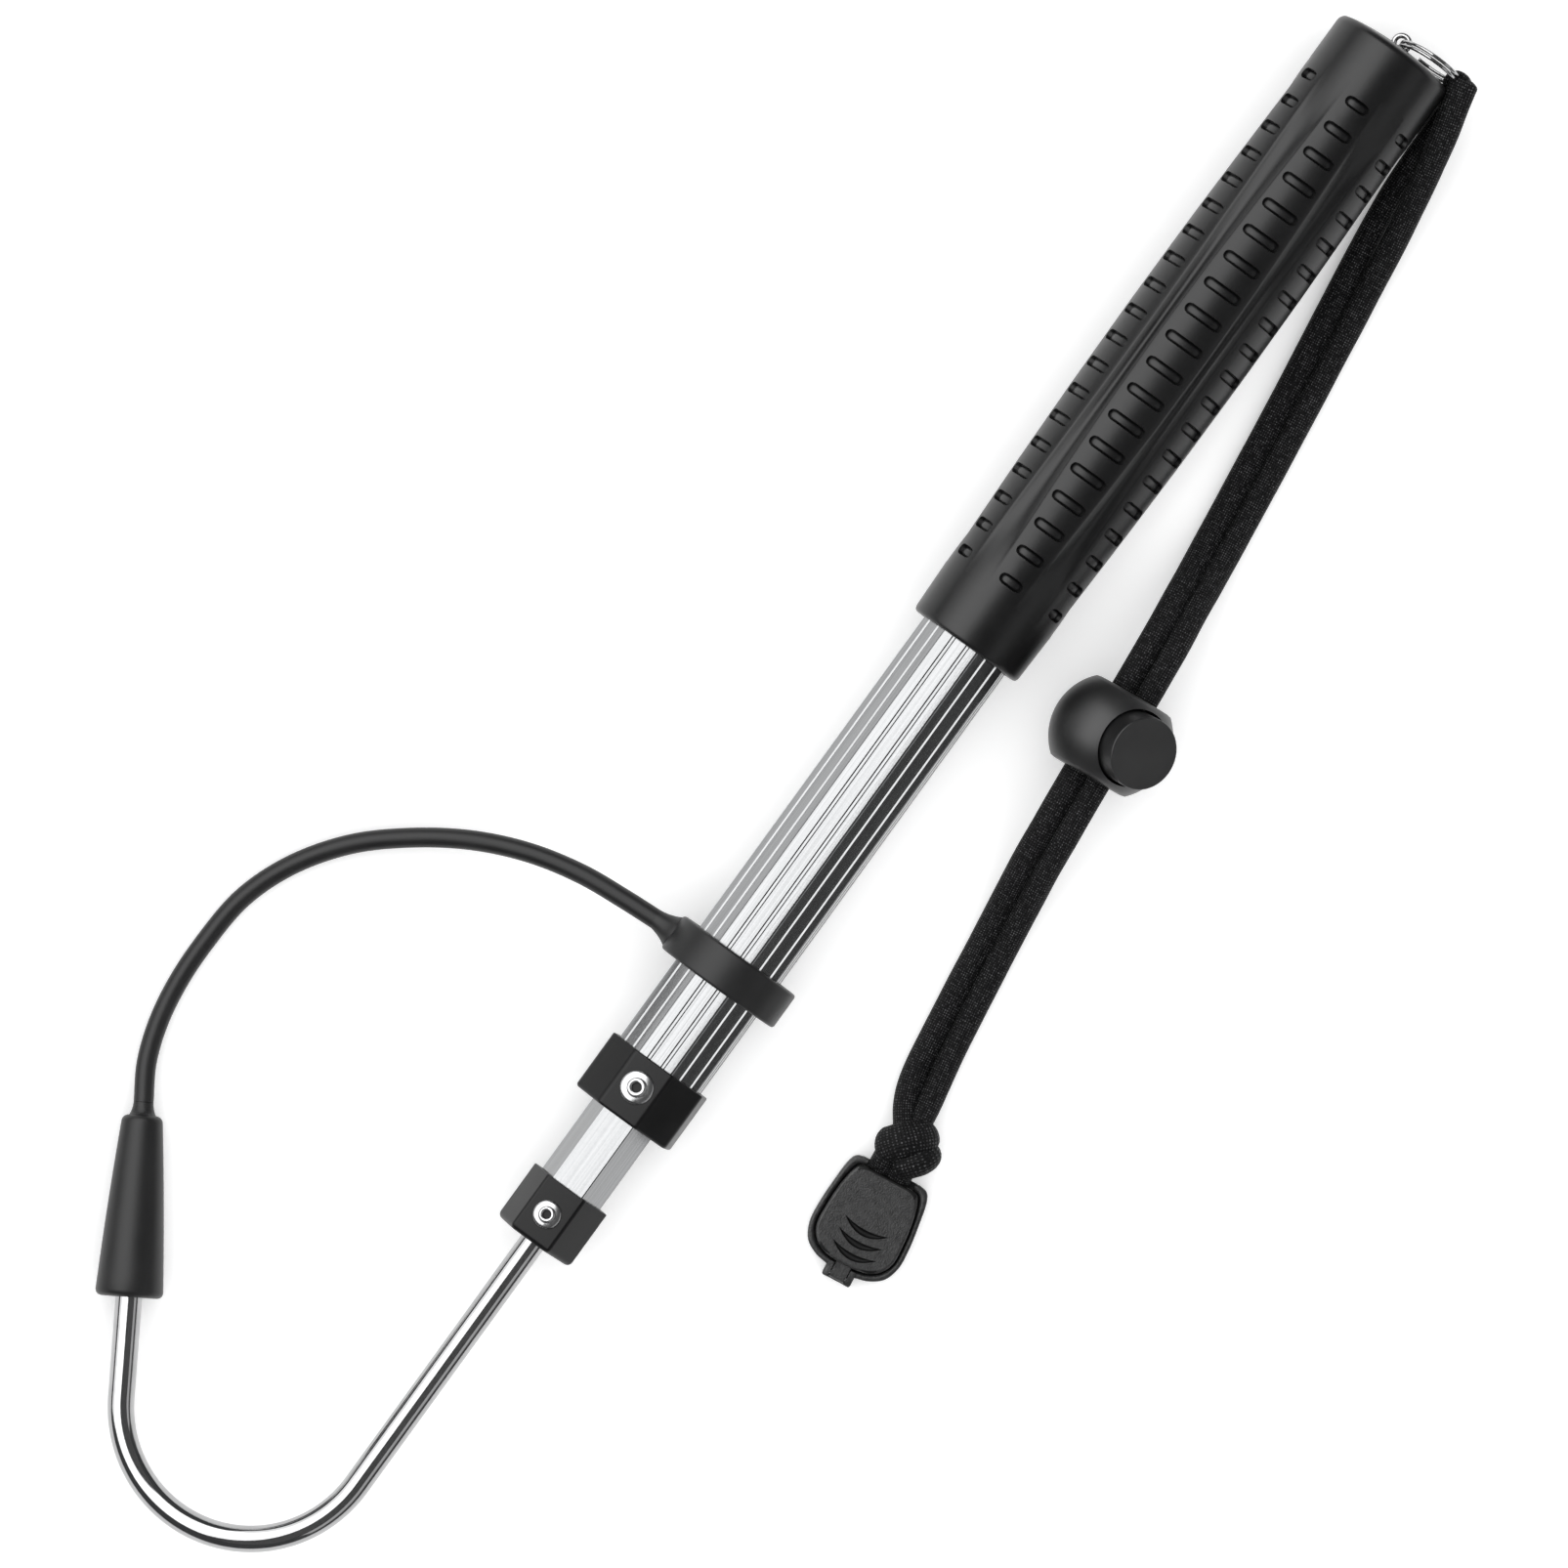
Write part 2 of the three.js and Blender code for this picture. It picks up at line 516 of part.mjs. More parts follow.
// ---- cord-end clip: a tray with a raised rim and a hinged lid that bites on the cord's tails ----
const clip = new THREE.Group();
clip.position.set(CLIP_CENTRE[0], CLIP_CENTRE[1], 0);
clip.rotation.z = CLIP_YAW;
group.add(clip);

const clipHalfOutline = [
  [-17.7, 9], [-17.0, 11.2], [-15, 12.4], [-8, 13.6], [0, 14.4], [6, 14.2], [10.5, 12.2],
  [13, 8.4], [14, 4.5],
];
const clipOutline = (inset) => {
  const shrink = ([u, v]) => [
    u < -10 ? u + inset : u - inset * Math.max(0, (u - 4) / 10),
    v - inset * (u > 12 ? 0.7 : 1),
  ];
  const half = clipHalfOutline.map(shrink);
  return [...half, ...half.map(([u, v]) => [u, -v]).reverse()];
};
const plate = (points, low, high) => new THREE.ExtrudeGeometry(
  shapeOf(points), { depth: high - low, bevelEnabled: false },
).translate(0, 0, low);
const PIN_U = 15.4;
const PIN_Z = 5.2;
const blockOf = (u, v, z) => new THREE.BoxGeometry(u[1] - u[0], v[1] - v[0], z[1] - z[0])
  .translate((u[0] + u[1]) / 2, (v[0] + v[1]) / 2, (z[0] + z[1]) / 2);
const crossHole = (radius, reach) => new THREE.CylinderGeometry(radius, radius, 2 * reach, 14)
  .translate(PIN_U, 0, PIN_Z);
const trayPocket = plate(clipOutline(1.7), 1.5, 9);
const trayMouth = blockOf([-21, -13], [-7.5, 7.5], [1.5, 9.5]);
const trayTab = blockOf([13, 17.2], [-4.4, 4.4], [0, 6.6]);
const knuckleRoom = blockOf([11, 18], [-2.6, 2.6], [3.2, 9]);
node(clip, 'clip_tray',
  cut(join(plate(clipOutline(0), 0, 6), trayTab), trayPocket, trayMouth, knuckleRoom,
    crossHole(0.9, 8)), blackPlastic);
node(clip, 'clip_pin', crossHole(0.6, 4.2), polishedSteel);
const lidPlate = plate(clipOutline(2.1), 5.2, 8.0);
const lidKnuckle = blockOf([10.5, 16.8], [-2.3, 2.3], [4.0, 6.4]);
node(clip, 'clip_lid', cut(join(lidPlate, lidKnuckle), crossHole(0.9, 8)), blackPlastic);

// ---- the origin: under the middle of the pole, hook and guard, on the surface they lie on ----
const LANYARD = /^(lanyard|lock|clip)_/;
group.updateMatrixWorld(true);
const box = new THREE.Box3();
group.traverse((object) => {
  if (object.isMesh && !LANYARD.test(object.name)) {
    box.expandByObject(object, true);
  }
});
group.position.set(-(box.min.x + box.max.x) / 2, -(box.min.y + box.max.y) / 2, -box.min.z);

export default group;
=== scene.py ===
import math

import bmesh
import bpy
from mathutils import Matrix, Vector, noise


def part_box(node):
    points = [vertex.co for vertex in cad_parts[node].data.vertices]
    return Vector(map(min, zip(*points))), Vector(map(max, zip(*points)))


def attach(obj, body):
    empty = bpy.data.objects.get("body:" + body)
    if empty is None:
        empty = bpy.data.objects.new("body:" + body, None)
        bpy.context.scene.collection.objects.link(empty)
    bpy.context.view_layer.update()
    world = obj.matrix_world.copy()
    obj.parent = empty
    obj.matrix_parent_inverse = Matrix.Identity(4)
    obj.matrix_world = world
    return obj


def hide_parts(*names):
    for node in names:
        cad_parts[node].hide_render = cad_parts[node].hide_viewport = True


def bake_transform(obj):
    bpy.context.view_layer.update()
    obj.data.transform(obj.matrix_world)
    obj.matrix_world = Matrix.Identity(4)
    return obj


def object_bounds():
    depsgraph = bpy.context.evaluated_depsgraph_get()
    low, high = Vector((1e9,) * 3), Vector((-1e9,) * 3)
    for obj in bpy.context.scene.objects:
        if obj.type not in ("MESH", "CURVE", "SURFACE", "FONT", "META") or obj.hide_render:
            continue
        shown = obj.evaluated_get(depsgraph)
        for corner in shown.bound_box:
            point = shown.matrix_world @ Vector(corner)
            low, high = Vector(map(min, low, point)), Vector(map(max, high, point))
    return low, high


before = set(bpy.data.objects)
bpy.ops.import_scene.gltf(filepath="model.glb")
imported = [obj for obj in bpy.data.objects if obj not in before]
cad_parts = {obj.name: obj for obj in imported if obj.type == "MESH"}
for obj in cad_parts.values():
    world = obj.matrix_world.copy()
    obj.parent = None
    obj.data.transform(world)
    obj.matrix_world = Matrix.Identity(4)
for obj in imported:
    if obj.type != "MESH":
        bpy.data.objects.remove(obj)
cad_low, cad_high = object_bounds()

# ---- where the gaff lies ----
# The pole lies along +X with its grip on the floor, rolled until the point guard touches down.
# Lengths below are millimetres from the floor point under the rim of the grip's butt.
MM = 0.001
AXIS_HEIGHT = 19.6
ROLL = math.radians(6.8)
BUTT_DOME = 2.0
grip_low, grip_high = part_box("grip")
butt_rim = Vector((grip_low.x + BUTT_DOME * MM, (grip_low.y + grip_high.y) / 2, grip_low.z))
floor_frame = Matrix.Translation(butt_rim) @ Matrix.Scale(MM, 4)
axis_frame = floor_frame @ Matrix.Translation((0, 0, AXIS_HEIGHT))
pole_frame = axis_frame @ Matrix.Rotation(ROLL, 4, "X")

# ---- camera ----
# It hangs straight above the middle of the gaff, turned so that the butt is at the upper right.
CAMERA_OVER = Vector((266.9, -18.35, AXIS_HEIGHT))
CAMERA_FIELD = 440.8
CAMERA_LENS = 250
CAMERA_SENSOR = 36
camera_right = Vector((-0.5869, 0.8096, 0)).normalized()
camera_up = Vector((-0.8096, -0.5869, 0)).normalized()
camera_height = CAMERA_FIELD / CAMERA_SENSOR * CAMERA_LENS
camera = bpy.data.objects.new("camera", bpy.data.cameras.new("camera"))
bpy.context.scene.collection.objects.link(camera)
camera.data.lens = CAMERA_LENS
camera.data.sensor_width = CAMERA_SENSOR
camera_turn = Matrix((camera_right, camera_up, Vector((0, 0, 1)))).transposed().to_4x4()
camera_place = floor_frame @ (CAMERA_OVER + Vector((0, 0, camera_height)))
camera.matrix_world = Matrix.Translation(camera_place) @ camera_turn
bpy.context.scene.camera = camera

# ---- lanyard cord ----
# One woven polyester tube, folded at the split ring so that its two strands lie side by side. They
# run through the cord lock and are knotted together just before the clip.
CORD = 6.6
CORD_SIDES = 28
BROAD_REACH = 26
PUCKER_LENGTH = 12
STRAND_PUCKER = 0.025
SMALLEST_END = 0.02
YARN_PITCH = 1.5
YARNS_ROUND = 14
YARN_RELIEF = 0.22
BRAID_DARK = (0.0016, 0.0016, 0.0018)
# painted highlight: the light colour of the glints painted on the braid's yarns
BRAID_PAINTED_GLINT = (0.09, 0.09, 0.093)
strand_a_route = [
    (-6.0, 20.4, 21.8), (-3.4, 21.0, 21.8), (2, 22.4, 21.0), (10, 24.8, 19.2), (20, 27.2, 16.0),
    (30, 29.2, 12.4), (40, 31.0, 9.2), (60, 34.0, 5.2), (80, 36.9, 3.8), (100, 39.7, 3.6),
    (120, 42.4, 3.6), (138, 44.7, 4.6), (150, 46.1, 8.4), (160, 47.1, 13.6), (172, 48.6, 17.6),
    (187, 50.1, 17.6), (202, 51.6, 17.6), (217, 53.1, 17.6), (232, 54.6, 17.6), (244, 56.0, 13.6),
    (254, 57.5, 8.4), (266, 59.3, 4.6), (282, 61.7, 3.6), (300, 64.6, 3.6), (310, 66.6, 4.0),
    (316, 67.8, 5.0), (321, 68.6, 6.0), (326, 69.6, 6.6),
]
strand_b_route = [
    (-3.4, 22.2, 13.2), (-0.4, 22.2, 13.0), (10, 22.4, 11.4), (20, 22.5, 9.4), (30, 22.9, 7.2),
    (40, 23.9, 5.6), (60, 26.7, 4.0), (80, 29.7, 3.6), (100, 32.6, 3.6), (120, 35.3, 3.6),
    (138, 37.7, 4.6), (150, 39.2, 8.4), (160, 40.3, 13.6), (172, 41.6, 17.6), (187, 43.1, 17.6),
    (202, 44.6, 17.6), (217, 46.1, 17.6), (232, 47.6, 17.6), (244, 49.0, 13.6), (254, 50.5, 8.4),
    (266, 52.4, 4.6), (282, 54.7, 3.6), (300, 57.4, 3.6), (310, 59.1, 3.8), (316, 60.8, 4.4),
    (320.5, 63.0, 5.2), (324.5, 65.9, 6.2), (328, 68.4, 6.8),
]


def bent_through(points, per_span):
    """Points along the smooth curve that a springy cord takes through the given points."""
    knots = [Vector(p) for p in points]
    knots = [2 * knots[0] - knots[1], *knots, 2 * knots[-1] - knots[-2]]
    route = []
    for p0, p1, p2, p3 in zip(knots, knots[1:], knots[2:], knots[3:]):
        t1 = (p1 - p0).length ** 0.5
        t2 = t1 + (p2 - p1).length ** 0.5
        t3 = t2 + (p3 - p2).length ** 0.5
        for k in range(per_span):
            t = t1 + (t2 - t1) * k / per_span
            a1 = p0.lerp(p1, t / t1)
            a2 = p1.lerp(p2, (t - t1) / (t2 - t1))
            a3 = p2.lerp(p3, (t - t2) / (t3 - t2))
            b1 = a1.lerp(a2, t / t2)
            b2 = a2.lerp(a3, (t - t1) / (t3 - t1))
            route.append(b1.lerp(b2, (t - t1) / (t2 - t1)))
    route.append(knots[-2])
    return route


def measured(route):
    """The distance along the route at each of its points."""
    marks = [0.0]
    for here, there in zip(route, route[1:]):
        marks.append(marks[-1] + (there - here).length)
    return marks


def tube_rings(route, sides, reach, up=(0, 0, 1)):
    """Rings of points round a route. reach(distance, angle) is the skin's distance from the route."""
    marks = measured(route)
    side = None
    rings = []
    for k, here in enumerate(route):
        ahead = (route[min(k + 1, len(route) - 1)] - route[max(k - 1, 0)]).normalized()
        across = Vector(up).cross(ahead) if side is None else side
        side = (across - ahead * across.dot(ahead)).normalized()
        top = ahead.cross(side)
        ring = []
        for j in range(sides):
            angle = 2 * math.pi * j / sides
            r = reach(marks[k], angle)
            ring.append(here + (side * math.cos(angle) + top * math.sin(angle)) * r)
        rings.append(ring)
    return rings, marks


def skin(name, rings, place, closed=False, marks=None):
    """A mesh stretched over rings of equally many points, with round ends or joined end to end.
    With marks its UVs are millimetres along and turns round."""
    sides = len(rings[0])
    points = [place @ p for ring in rings for p in ring]
    spans = list(zip(range(len(rings)), range(1, len(rings))))
    if closed:
        spans.append((len(rings) - 1, 0))
    faces = []
    for a, b in spans:
        for j in range(sides):
            k = (j + 1) % sides
            faces.append((a * sides + j, a * sides + k, b * sides + k, b * sides + j))
    if not closed:
        faces.append(tuple(reversed(range(sides))))
        last = (len(rings) - 1) * sides
        faces.append(tuple(range(last, last + sides)))
    mesh = bpy.data.meshes.new(name)
    mesh.from_pydata(points, [], faces)
    if marks:
        layer = mesh.uv_layers.new(name="along_and_round")
        for face, (a, b) in enumerate(spans[: len(rings) - 1]):
            for j in range(sides):
                corners = mesh.polygons[face * sides + j].loop_indices
                uvs = ((a, j), (a, j + 1), (b, j + 1), (b, j))
                for corner, (ring, turn) in zip(corners, uvs):
                    layer.data[corner].uv = (marks[ring], turn / sides)
    piece = bpy.data.objects.new(name, mesh)
    bpy.context.scene.collection.objects.link(piece)
    outward(piece)
    return piece


def outward(piece):
    """Turns every face of a closed piece outwards and shades it smooth."""
    made = bmesh.new()
    made.from_mesh(piece.data)
    bmesh.ops.recalc_face_normals(made, faces=made.faces)
    for face in made.faces:
        face.smooth = True
    made.to_mesh(piece.data)
    made.free()


def finish_named(name):
    """A new material's Principled shader and its nodes."""
    material = bpy.data.materials.new(name)
    material.use_nodes = True
    nodes = material.node_tree.nodes
    return material, nodes, nodes["Principled BSDF"], material.node_tree.links


def two_tone(nodes, links, factor, dark, light, low=0.3, high=0.7):
    """A colour that runs from dark to light as factor runs from low to high."""
    ramp = nodes.new("ShaderNodeValToRGB")
    ramp.color_ramp.elements[0].position = low
    ramp.color_ramp.elements[0].color = (*dark, 1)
    ramp.color_ramp.elements[1].position = high
    ramp.color_ramp.elements[1].color = (*light, 1)
    links.new(factor, ramp.inputs["Fac"])
    return ramp.outputs["Color"]


def calculate(nodes, links, operation, first, second):
    """One sum on two numbers, either of which may come from another node."""
    node = nodes.new("ShaderNodeMath")
    node.operation = operation
    for socket, value in zip(node.inputs, (first, second)):
        if isinstance(value, (int, float)):
            socket.default_value = value
        else:
            links.new(value, socket)
    return node.outputs[0]


def raised(nodes, links, shader, height, distance, strength=1.0):
    """Stands the surface up by a height from 0 to 1, times distance in millimetres."""
    bump = nodes.new("ShaderNodeBump")
    bump.inputs["Strength"].default_value = strength
    bump.inputs["Distance"].default_value = distance * MM
    links.new(height, bump.inputs["Height"])
    links.new(bump.outputs["Normal"], shader.inputs["Normal"])


def noise_through(nodes, links, scale, detail, where=None):
    """Noise through the piece, with scale cells to the metre, or at the places given by a socket."""
    texture = nodes.new("ShaderNodeTexNoise")
    texture.inputs["Scale"].default_value = scale
    texture.inputs["Detail"].default_value = detail
    where = where or nodes.new("ShaderNodeTexCoord").outputs["Object"]
    links.new(where, texture.inputs["Vector"])
    return texture.outputs["Fac"]


def woven_polyester(name, along_pitch, picks_round):
    """Black braid: two sets of yarns crossing on the slant, with a few painted highlights: light glints in
    its colour on the yarns.
    """
    material, nodes, shader, links = finish_named(name)
    uv = nodes.new("ShaderNodeUVMap")
    uv.uv_map = "along_and_round"
    split = nodes.new("ShaderNodeSeparateXYZ")
    links.new(uv.outputs["UV"], split.inputs[0])
    along = calculate(nodes, links, "MULTIPLY", split.outputs["X"], 2 * math.pi / along_pitch)
    round_ = calculate(nodes, links, "MULTIPLY", split.outputs["Y"], 2 * math.pi * picks_round)
    slant_one = calculate(nodes, links, "ADD", along, round_)
    slant_two = calculate(nodes, links, "SUBTRACT", along, round_)
    yarn_one = calculate(nodes, links, "SINE", slant_one, 0)
    yarn_two = calculate(nodes, links, "SINE", slant_two, 0)
    crossing = calculate(nodes, links, "MULTIPLY", yarn_one, yarn_two)
    half = calculate(nodes, links, "MULTIPLY", crossing, 0.5)
    weave = calculate(nodes, links, "ADD", half, 0.5)
    # painted highlight: light flecks in the colour where the yarns cross stand for glints off them
    painted_glint = calculate(nodes, links, "MULTIPLY", noise_through(nodes, links, 1100, 2), weave)
    colour = two_tone(nodes, links, painted_glint, BRAID_DARK, BRAID_PAINTED_GLINT, 0.36, 0.60)
    links.new(colour, shader.inputs["Base Color"])
    shader.inputs["Roughness"].default_value = 0.62
    shader.inputs["Specular IOR Level"].default_value = 0.16
    shader.inputs["Sheen Weight"].default_value = 0.015
    shader.inputs["Sheen Roughness"].default_value = 0.4
    raised(nodes, links, shader, weave, YARN_RELIEF)
    return material


def fit(piece, material, body=None, stands_for=()):
    """Gives a piece its finish, the body that it rides on and the nodes it stands for."""
    piece.data.materials.clear()
    piece.data.materials.append(material)
    if stands_for:
        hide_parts(*stands_for)
    if body:
        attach(piece, body)
    return piece


def end_rounding(left):
    """How much of its full size a round end has, from 0 at its tip to 1 where the cord is whole."""
    return math.sqrt(max(SMALLEST_END, 1 - (1 - left) ** 2))


braid = woven_polyester("lanyard_braid", YARN_PITCH, YARNS_ROUND)


def strand(name, points, seed, broad_end):
    """One soft strand: a little flat where it lies, broad at its start and pinched at the knot."""
    route = bent_through(points, 12)
    whole = measured(route)[-1]

    def reach(distance, angle):
        puckered = noise.noise(Vector((distance / PUCKER_LENGTH, math.cos(angle) * 0.8, seed)))
        spread = max(0.0, 1 - distance / BROAD_REACH) * broad_end
        pressed = (0.12 + spread) * math.cos(angle) ** 2 - (0.03 + spread) * math.sin(angle) ** 2
        rounding = end_rounding(min(distance / 2, (whole - distance) / 3, 1))
        return CORD / 2 * rounding * (1 + pressed + STRAND_PUCKER * puckered)

    rings, marks = tube_rings(route, CORD_SIDES, reach)
    piece = skin(name, rings, floor_frame, marks=marks)
    return piece, route, marks[-1]


strand_a, route_a, length_a = strand("strand_a", strand_a_route, 2.0, 0.2)
strand_b, route_b, length_b = strand("strand_b", strand_b_route, 7.5, 0)
fit(strand_a, braid, "lanyard", ["lanyard_strand_a"])
fit(strand_b, braid, "lanyard", ["lanyard_strand_b"])

# ---- lanyard fold ----
# Where the cord goes round the split ring it is pulled flat and tight, as wide as both strands.
FOLD_THICK = 1.0
FOLD_WIDE = 3.5
FOLD_SIDES = 24
fold_route = bent_through([
    (-0.8, 23.6, 19.4), (-3.2, 23.2, 20.0), (-5.2, 22.1, 20.4), (-6.1, 20.2, 20.2),
    (-5.8, 18.0, 19.8), (-4.1, 16.7, 19.4), (-2.3, 17.0, 19.0), (-1.3, 18.9, 17.8),
    (-0.6, 21.0, 15.6),
], 8)
fold_rings, fold_marks = tube_rings(
    fold_route, FOLD_SIDES,
    lambda distance, angle: 1 / math.hypot(math.cos(angle) / FOLD_THICK, math.sin(angle) / FOLD_WIDE),
)
fold = skin("fold", fold_rings, floor_frame, marks=fold_marks)
fit(fold, braid, "lanyard", ["lanyard_fold"])

# ---- knot ----
# Both strands are tied in one overhand knot, pulled tight, and their tails go on into the clip.
KNOT_SIDES = 24
KNOT_PUCKER = 0.05
TAIL_FLAT_FROM = 12
TAIL_FLAT_BY = 5


def eased(low, high, x):
    """0 up to low and 1 from high, smooth between them."""
    t = min(1.0, max(0.0, (x - low) / (high - low)))
    return t * t * (3 - 2 * t)


# Each turn's name, its width, its height, its height at the far end, and the points it goes through.
knot_turns = [
    ("knot_wrap", 5.2, 3.7, 3.7, [
        (322.8, 72.8, 4.0), (323.6, 72.4, 7.4), (326.2, 69.8, 10.0), (329.6, 66.8, 10.4),
        (332.4, 65.0, 8.2), (333.8, 64.6, 5.0),
    ]),
    ("knot_bight", 4.3, 4.3, 4.3, [
        (331.5, 68.5, 5.0), (328.8, 73.4, 4.6), (328.2, 75.8, 6.8), (330.6, 75.0, 8.8),
        (333.8, 72.6, 8.0), (336.0, 71.0, 5.6),
    ]),
    ("knot_heart", 5.0, 5.0, 5.0, [
        (323.5, 68.0, 5.6), (327.0, 68.6, 6.4), (331.0, 69.4, 6.8), (334.5, 70.0, 6.4),
    ]),
    ("knot_tail_a", 3.6, 3.6, 1.6, [
        (329.0, 66.8, 7.6), (334.0, 66.6, 7.4), (338.4, 67.2, 5.6), (342.4, 67.9, 3.5),
        (347.0, 68.6, 3.35),
    ]),
    ("knot_tail_b", 3.6, 3.6, 1.6, [
        (329.5, 72.2, 6.8), (333.6, 72.6, 7.2), (337.8, 73.0, 5.8), (341.4, 73.8, 3.6),
        (346.0, 74.6, 3.35),
    ]),
]
for turn_name, turn_wide, turn_high, end_high, turn_points in knot_turns:
    turn_route = bent_through(turn_points, 10)
    turn_length = measured(turn_route)[-1]

    def turn_reach(distance, angle, wide=turn_wide, high=turn_high, low=end_high, length=turn_length):
        rounding = end_rounding(min(distance / wide, (length - distance) / wide, 1))
        puckered = noise.noise(Vector((distance / 4, math.cos(angle), wide)))
        flatter = eased(length - TAIL_FLAT_FROM, length - TAIL_FLAT_BY, distance)
        upright = high + (low - high) * flatter
        oval = 1 / math.hypot(math.cos(angle) / wide, math.sin(angle) / upright)
        return oval * rounding * (1 + KNOT_PUCKER * puckered)

    turn_rings, turn_marks = tube_rings(turn_route, KNOT_SIDES, turn_reach)
    turn = skin(turn_name, turn_rings, floor_frame, marks=turn_marks)
    fit(turn, braid, "lanyard")
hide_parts("lanyard_knot")

# ---- point guard's tether ----
# A round rubber cord moulded in one with the band and the cap. It is modelled in two lengths, one
# for each half of the functional model's tether.
TETHER = 5.7
TETHER_SIDES = 28
TETHER_JOIN = 50
BAND_MIDDLE = 318.8
BEND_X = 496.9
BEND_RADIUS = 37.1
BEND_TURN = math.radians(148)
LEG = 28.4
CAP_LENGTH = 51.4
CAP_NECK = 3.6
RUBBER_DARK = (0.006, 0.006, 0.0063)
RUBBER_LIGHT = (0.009, 0.009, 0.0093)
leg_angle = math.pi / 2 - BEND_TURN
leg_way = Vector((math.sin(leg_angle), -math.cos(leg_angle), 0))
bend_end = Vector((BEND_X, -BEND_RADIUS, 0))
bend_end += Vector((math.cos(leg_angle), math.sin(leg_angle), 0)) * BEND_RADIUS
neck_end = bend_end + leg_way * (LEG + CAP_LENGTH + CAP_NECK)
tether_route = bent_through([
    (BAND_MIDDLE, -24.6, 0), (319.5, -36, -0.2), (320.9, -50, -0.5), (324.7, -65.6, -0.9),
    (331.4, -81.0, -1.3), (341.0, -95.6, -1.6), (352.8, -108.7, -1.8), (367.4, -118.8, -1.9),
    (382.8, -124.5, -1.9), (399.8, -125.8, -1.8), (413.2, -125.2, -1.6), (425.4, -122.9, -1.1),
    (436.3, -118.8, -0.5), tuple(neck_end),
], 10)
tether_rings, tether_marks = tube_rings(tether_route, TETHER_SIDES, lambda distance, angle: TETHER / 2)


def crisp(piece, degrees):
    """Shades a piece smooth but keeps its edges sharper than the angle."""
    piece.data.set_sharp_from_angle(angle=math.radians(degrees))
    return piece


def uneven_gloss(nodes, links, shader, factor, low, high):
    """A roughness that runs from low to high with a factor from 0 to 1."""
    gloss = nodes.new("ShaderNodeMapRange")
    gloss.inputs["To Min"].default_value = low
    gloss.inputs["To Max"].default_value = high
    links.new(factor, gloss.inputs["Value"])
    links.new(gloss.outputs["Result"], shader.inputs["Roughness"])


def moulded(name, dark, light, rough, grain, depth, specular, mottling=90):
    """Moulded rubber or plastic: a fine spark-eroded grain, uneven gloss and slight mottling.
    grain and depth are the erosion's size and relief in millimetres, mottling is cells to the metre."""
    material, nodes, shader, links = finish_named(name)
    mottle = noise_through(nodes, links, mottling, 4)
    links.new(two_tone(nodes, links, mottle, dark, light), shader.inputs["Base Color"])
    uneven_gloss(nodes, links, shader, mottle, rough - 0.05, rough + 0.05)
    shader.inputs["Specular IOR Level"].default_value = specular
    raised(nodes, links, shader, noise_through(nodes, links, 1000 / grain, 2), depth)
    return material


guard_rubber = moulded("guard_rubber", RUBBER_DARK, RUBBER_LIGHT, rough=0.44, grain=0.35, depth=0.02,
                       specular=0.36)


def tether(name, first, last, stands_for):
    """One length of the tether, between two of the route's points."""
    piece = skin(name, tether_rings[first:last + 1], pole_frame, marks=tether_marks[first:last + 1])
    fit(crisp(piece, 60), guard_rubber, stands_for=[stands_for])
    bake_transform(piece)


tether("tether_from_band", 0, TETHER_JOIN, "tether_band_half")
tether("tether_to_cap", TETHER_JOIN, len(tether_route) - 1, "tether_cap_half")

# ---- grip ----
# A thick black rubber sleeve pushed over the tube, barrel-shaped, with six lens-shaped panels
# raised between shallow valleys. Each panel has nineteen round-ended pockets across it.
PANELS = 6
POCKETS = 19
FIRST_POCKET = 19.5
POCKET_PITCH = 9.145
POCKET_HALF = 1.65
POCKET_WALL = 0.34
POCKET_DEPTH = 1.3
POCKET_CROWN = 0.45
POCKET_FLOOR_HALF = POCKET_HALF - POCKET_WALL
BARREL_BACK = 1.6
PANEL_BACK = 14.5
PANEL_FRONT = 189.2
PANEL_STEP = 0.75
PANEL_EDGE = 0.9
VALLEY_DEPTH = 0.55
GRIP_HOLE_SIDES = 8
GRIP_HOLE_FLATS = 27.6
GRIP_DARK = (0.0018, 0.0018, 0.002)
GRIP_LIGHT = (0.0034, 0.0034, 0.0036)
barrel = [
    (BARREL_BACK, 18.6), (14.2, 18.6), (20, 18.8), (40, 19.1), (70, 19.5), (100, 19.6), (130, 19.4),
    (160, 18.9), (188, 18.2), (204.4, 17.7),
]
panel_half_width = [
    (PANEL_BACK, 5.2), (20, 5.5), (37, 6.3), (55, 7.1), (78, 7.9), (102, 8.2), (126, 7.9),
    (149, 7.1), (167, 6.2), (184, 5.4), (PANEL_FRONT, 5.1),
]
pocket_half_length = [
    (19.5, 3.75), (28.5, 4.5), (37.5, 5.0), (46, 5.5), (55, 5.85), (80, 6.15), (102, 6.2),
    (125, 6.15), (148, 5.85), (157, 5.5), (166, 5.0), (175, 4.5), (184.1, 3.75),
]


def read_off(table, x):
    """The value at x in a table of (x, value) rows, straight between rows."""
    for (x0, v0), (x1, v1) in zip(table, table[1:]):
        if x <= x1:
            return v0 + (v1 - v0) * max(0.0, (x - x0) / (x1 - x0))
    return table[-1][1]


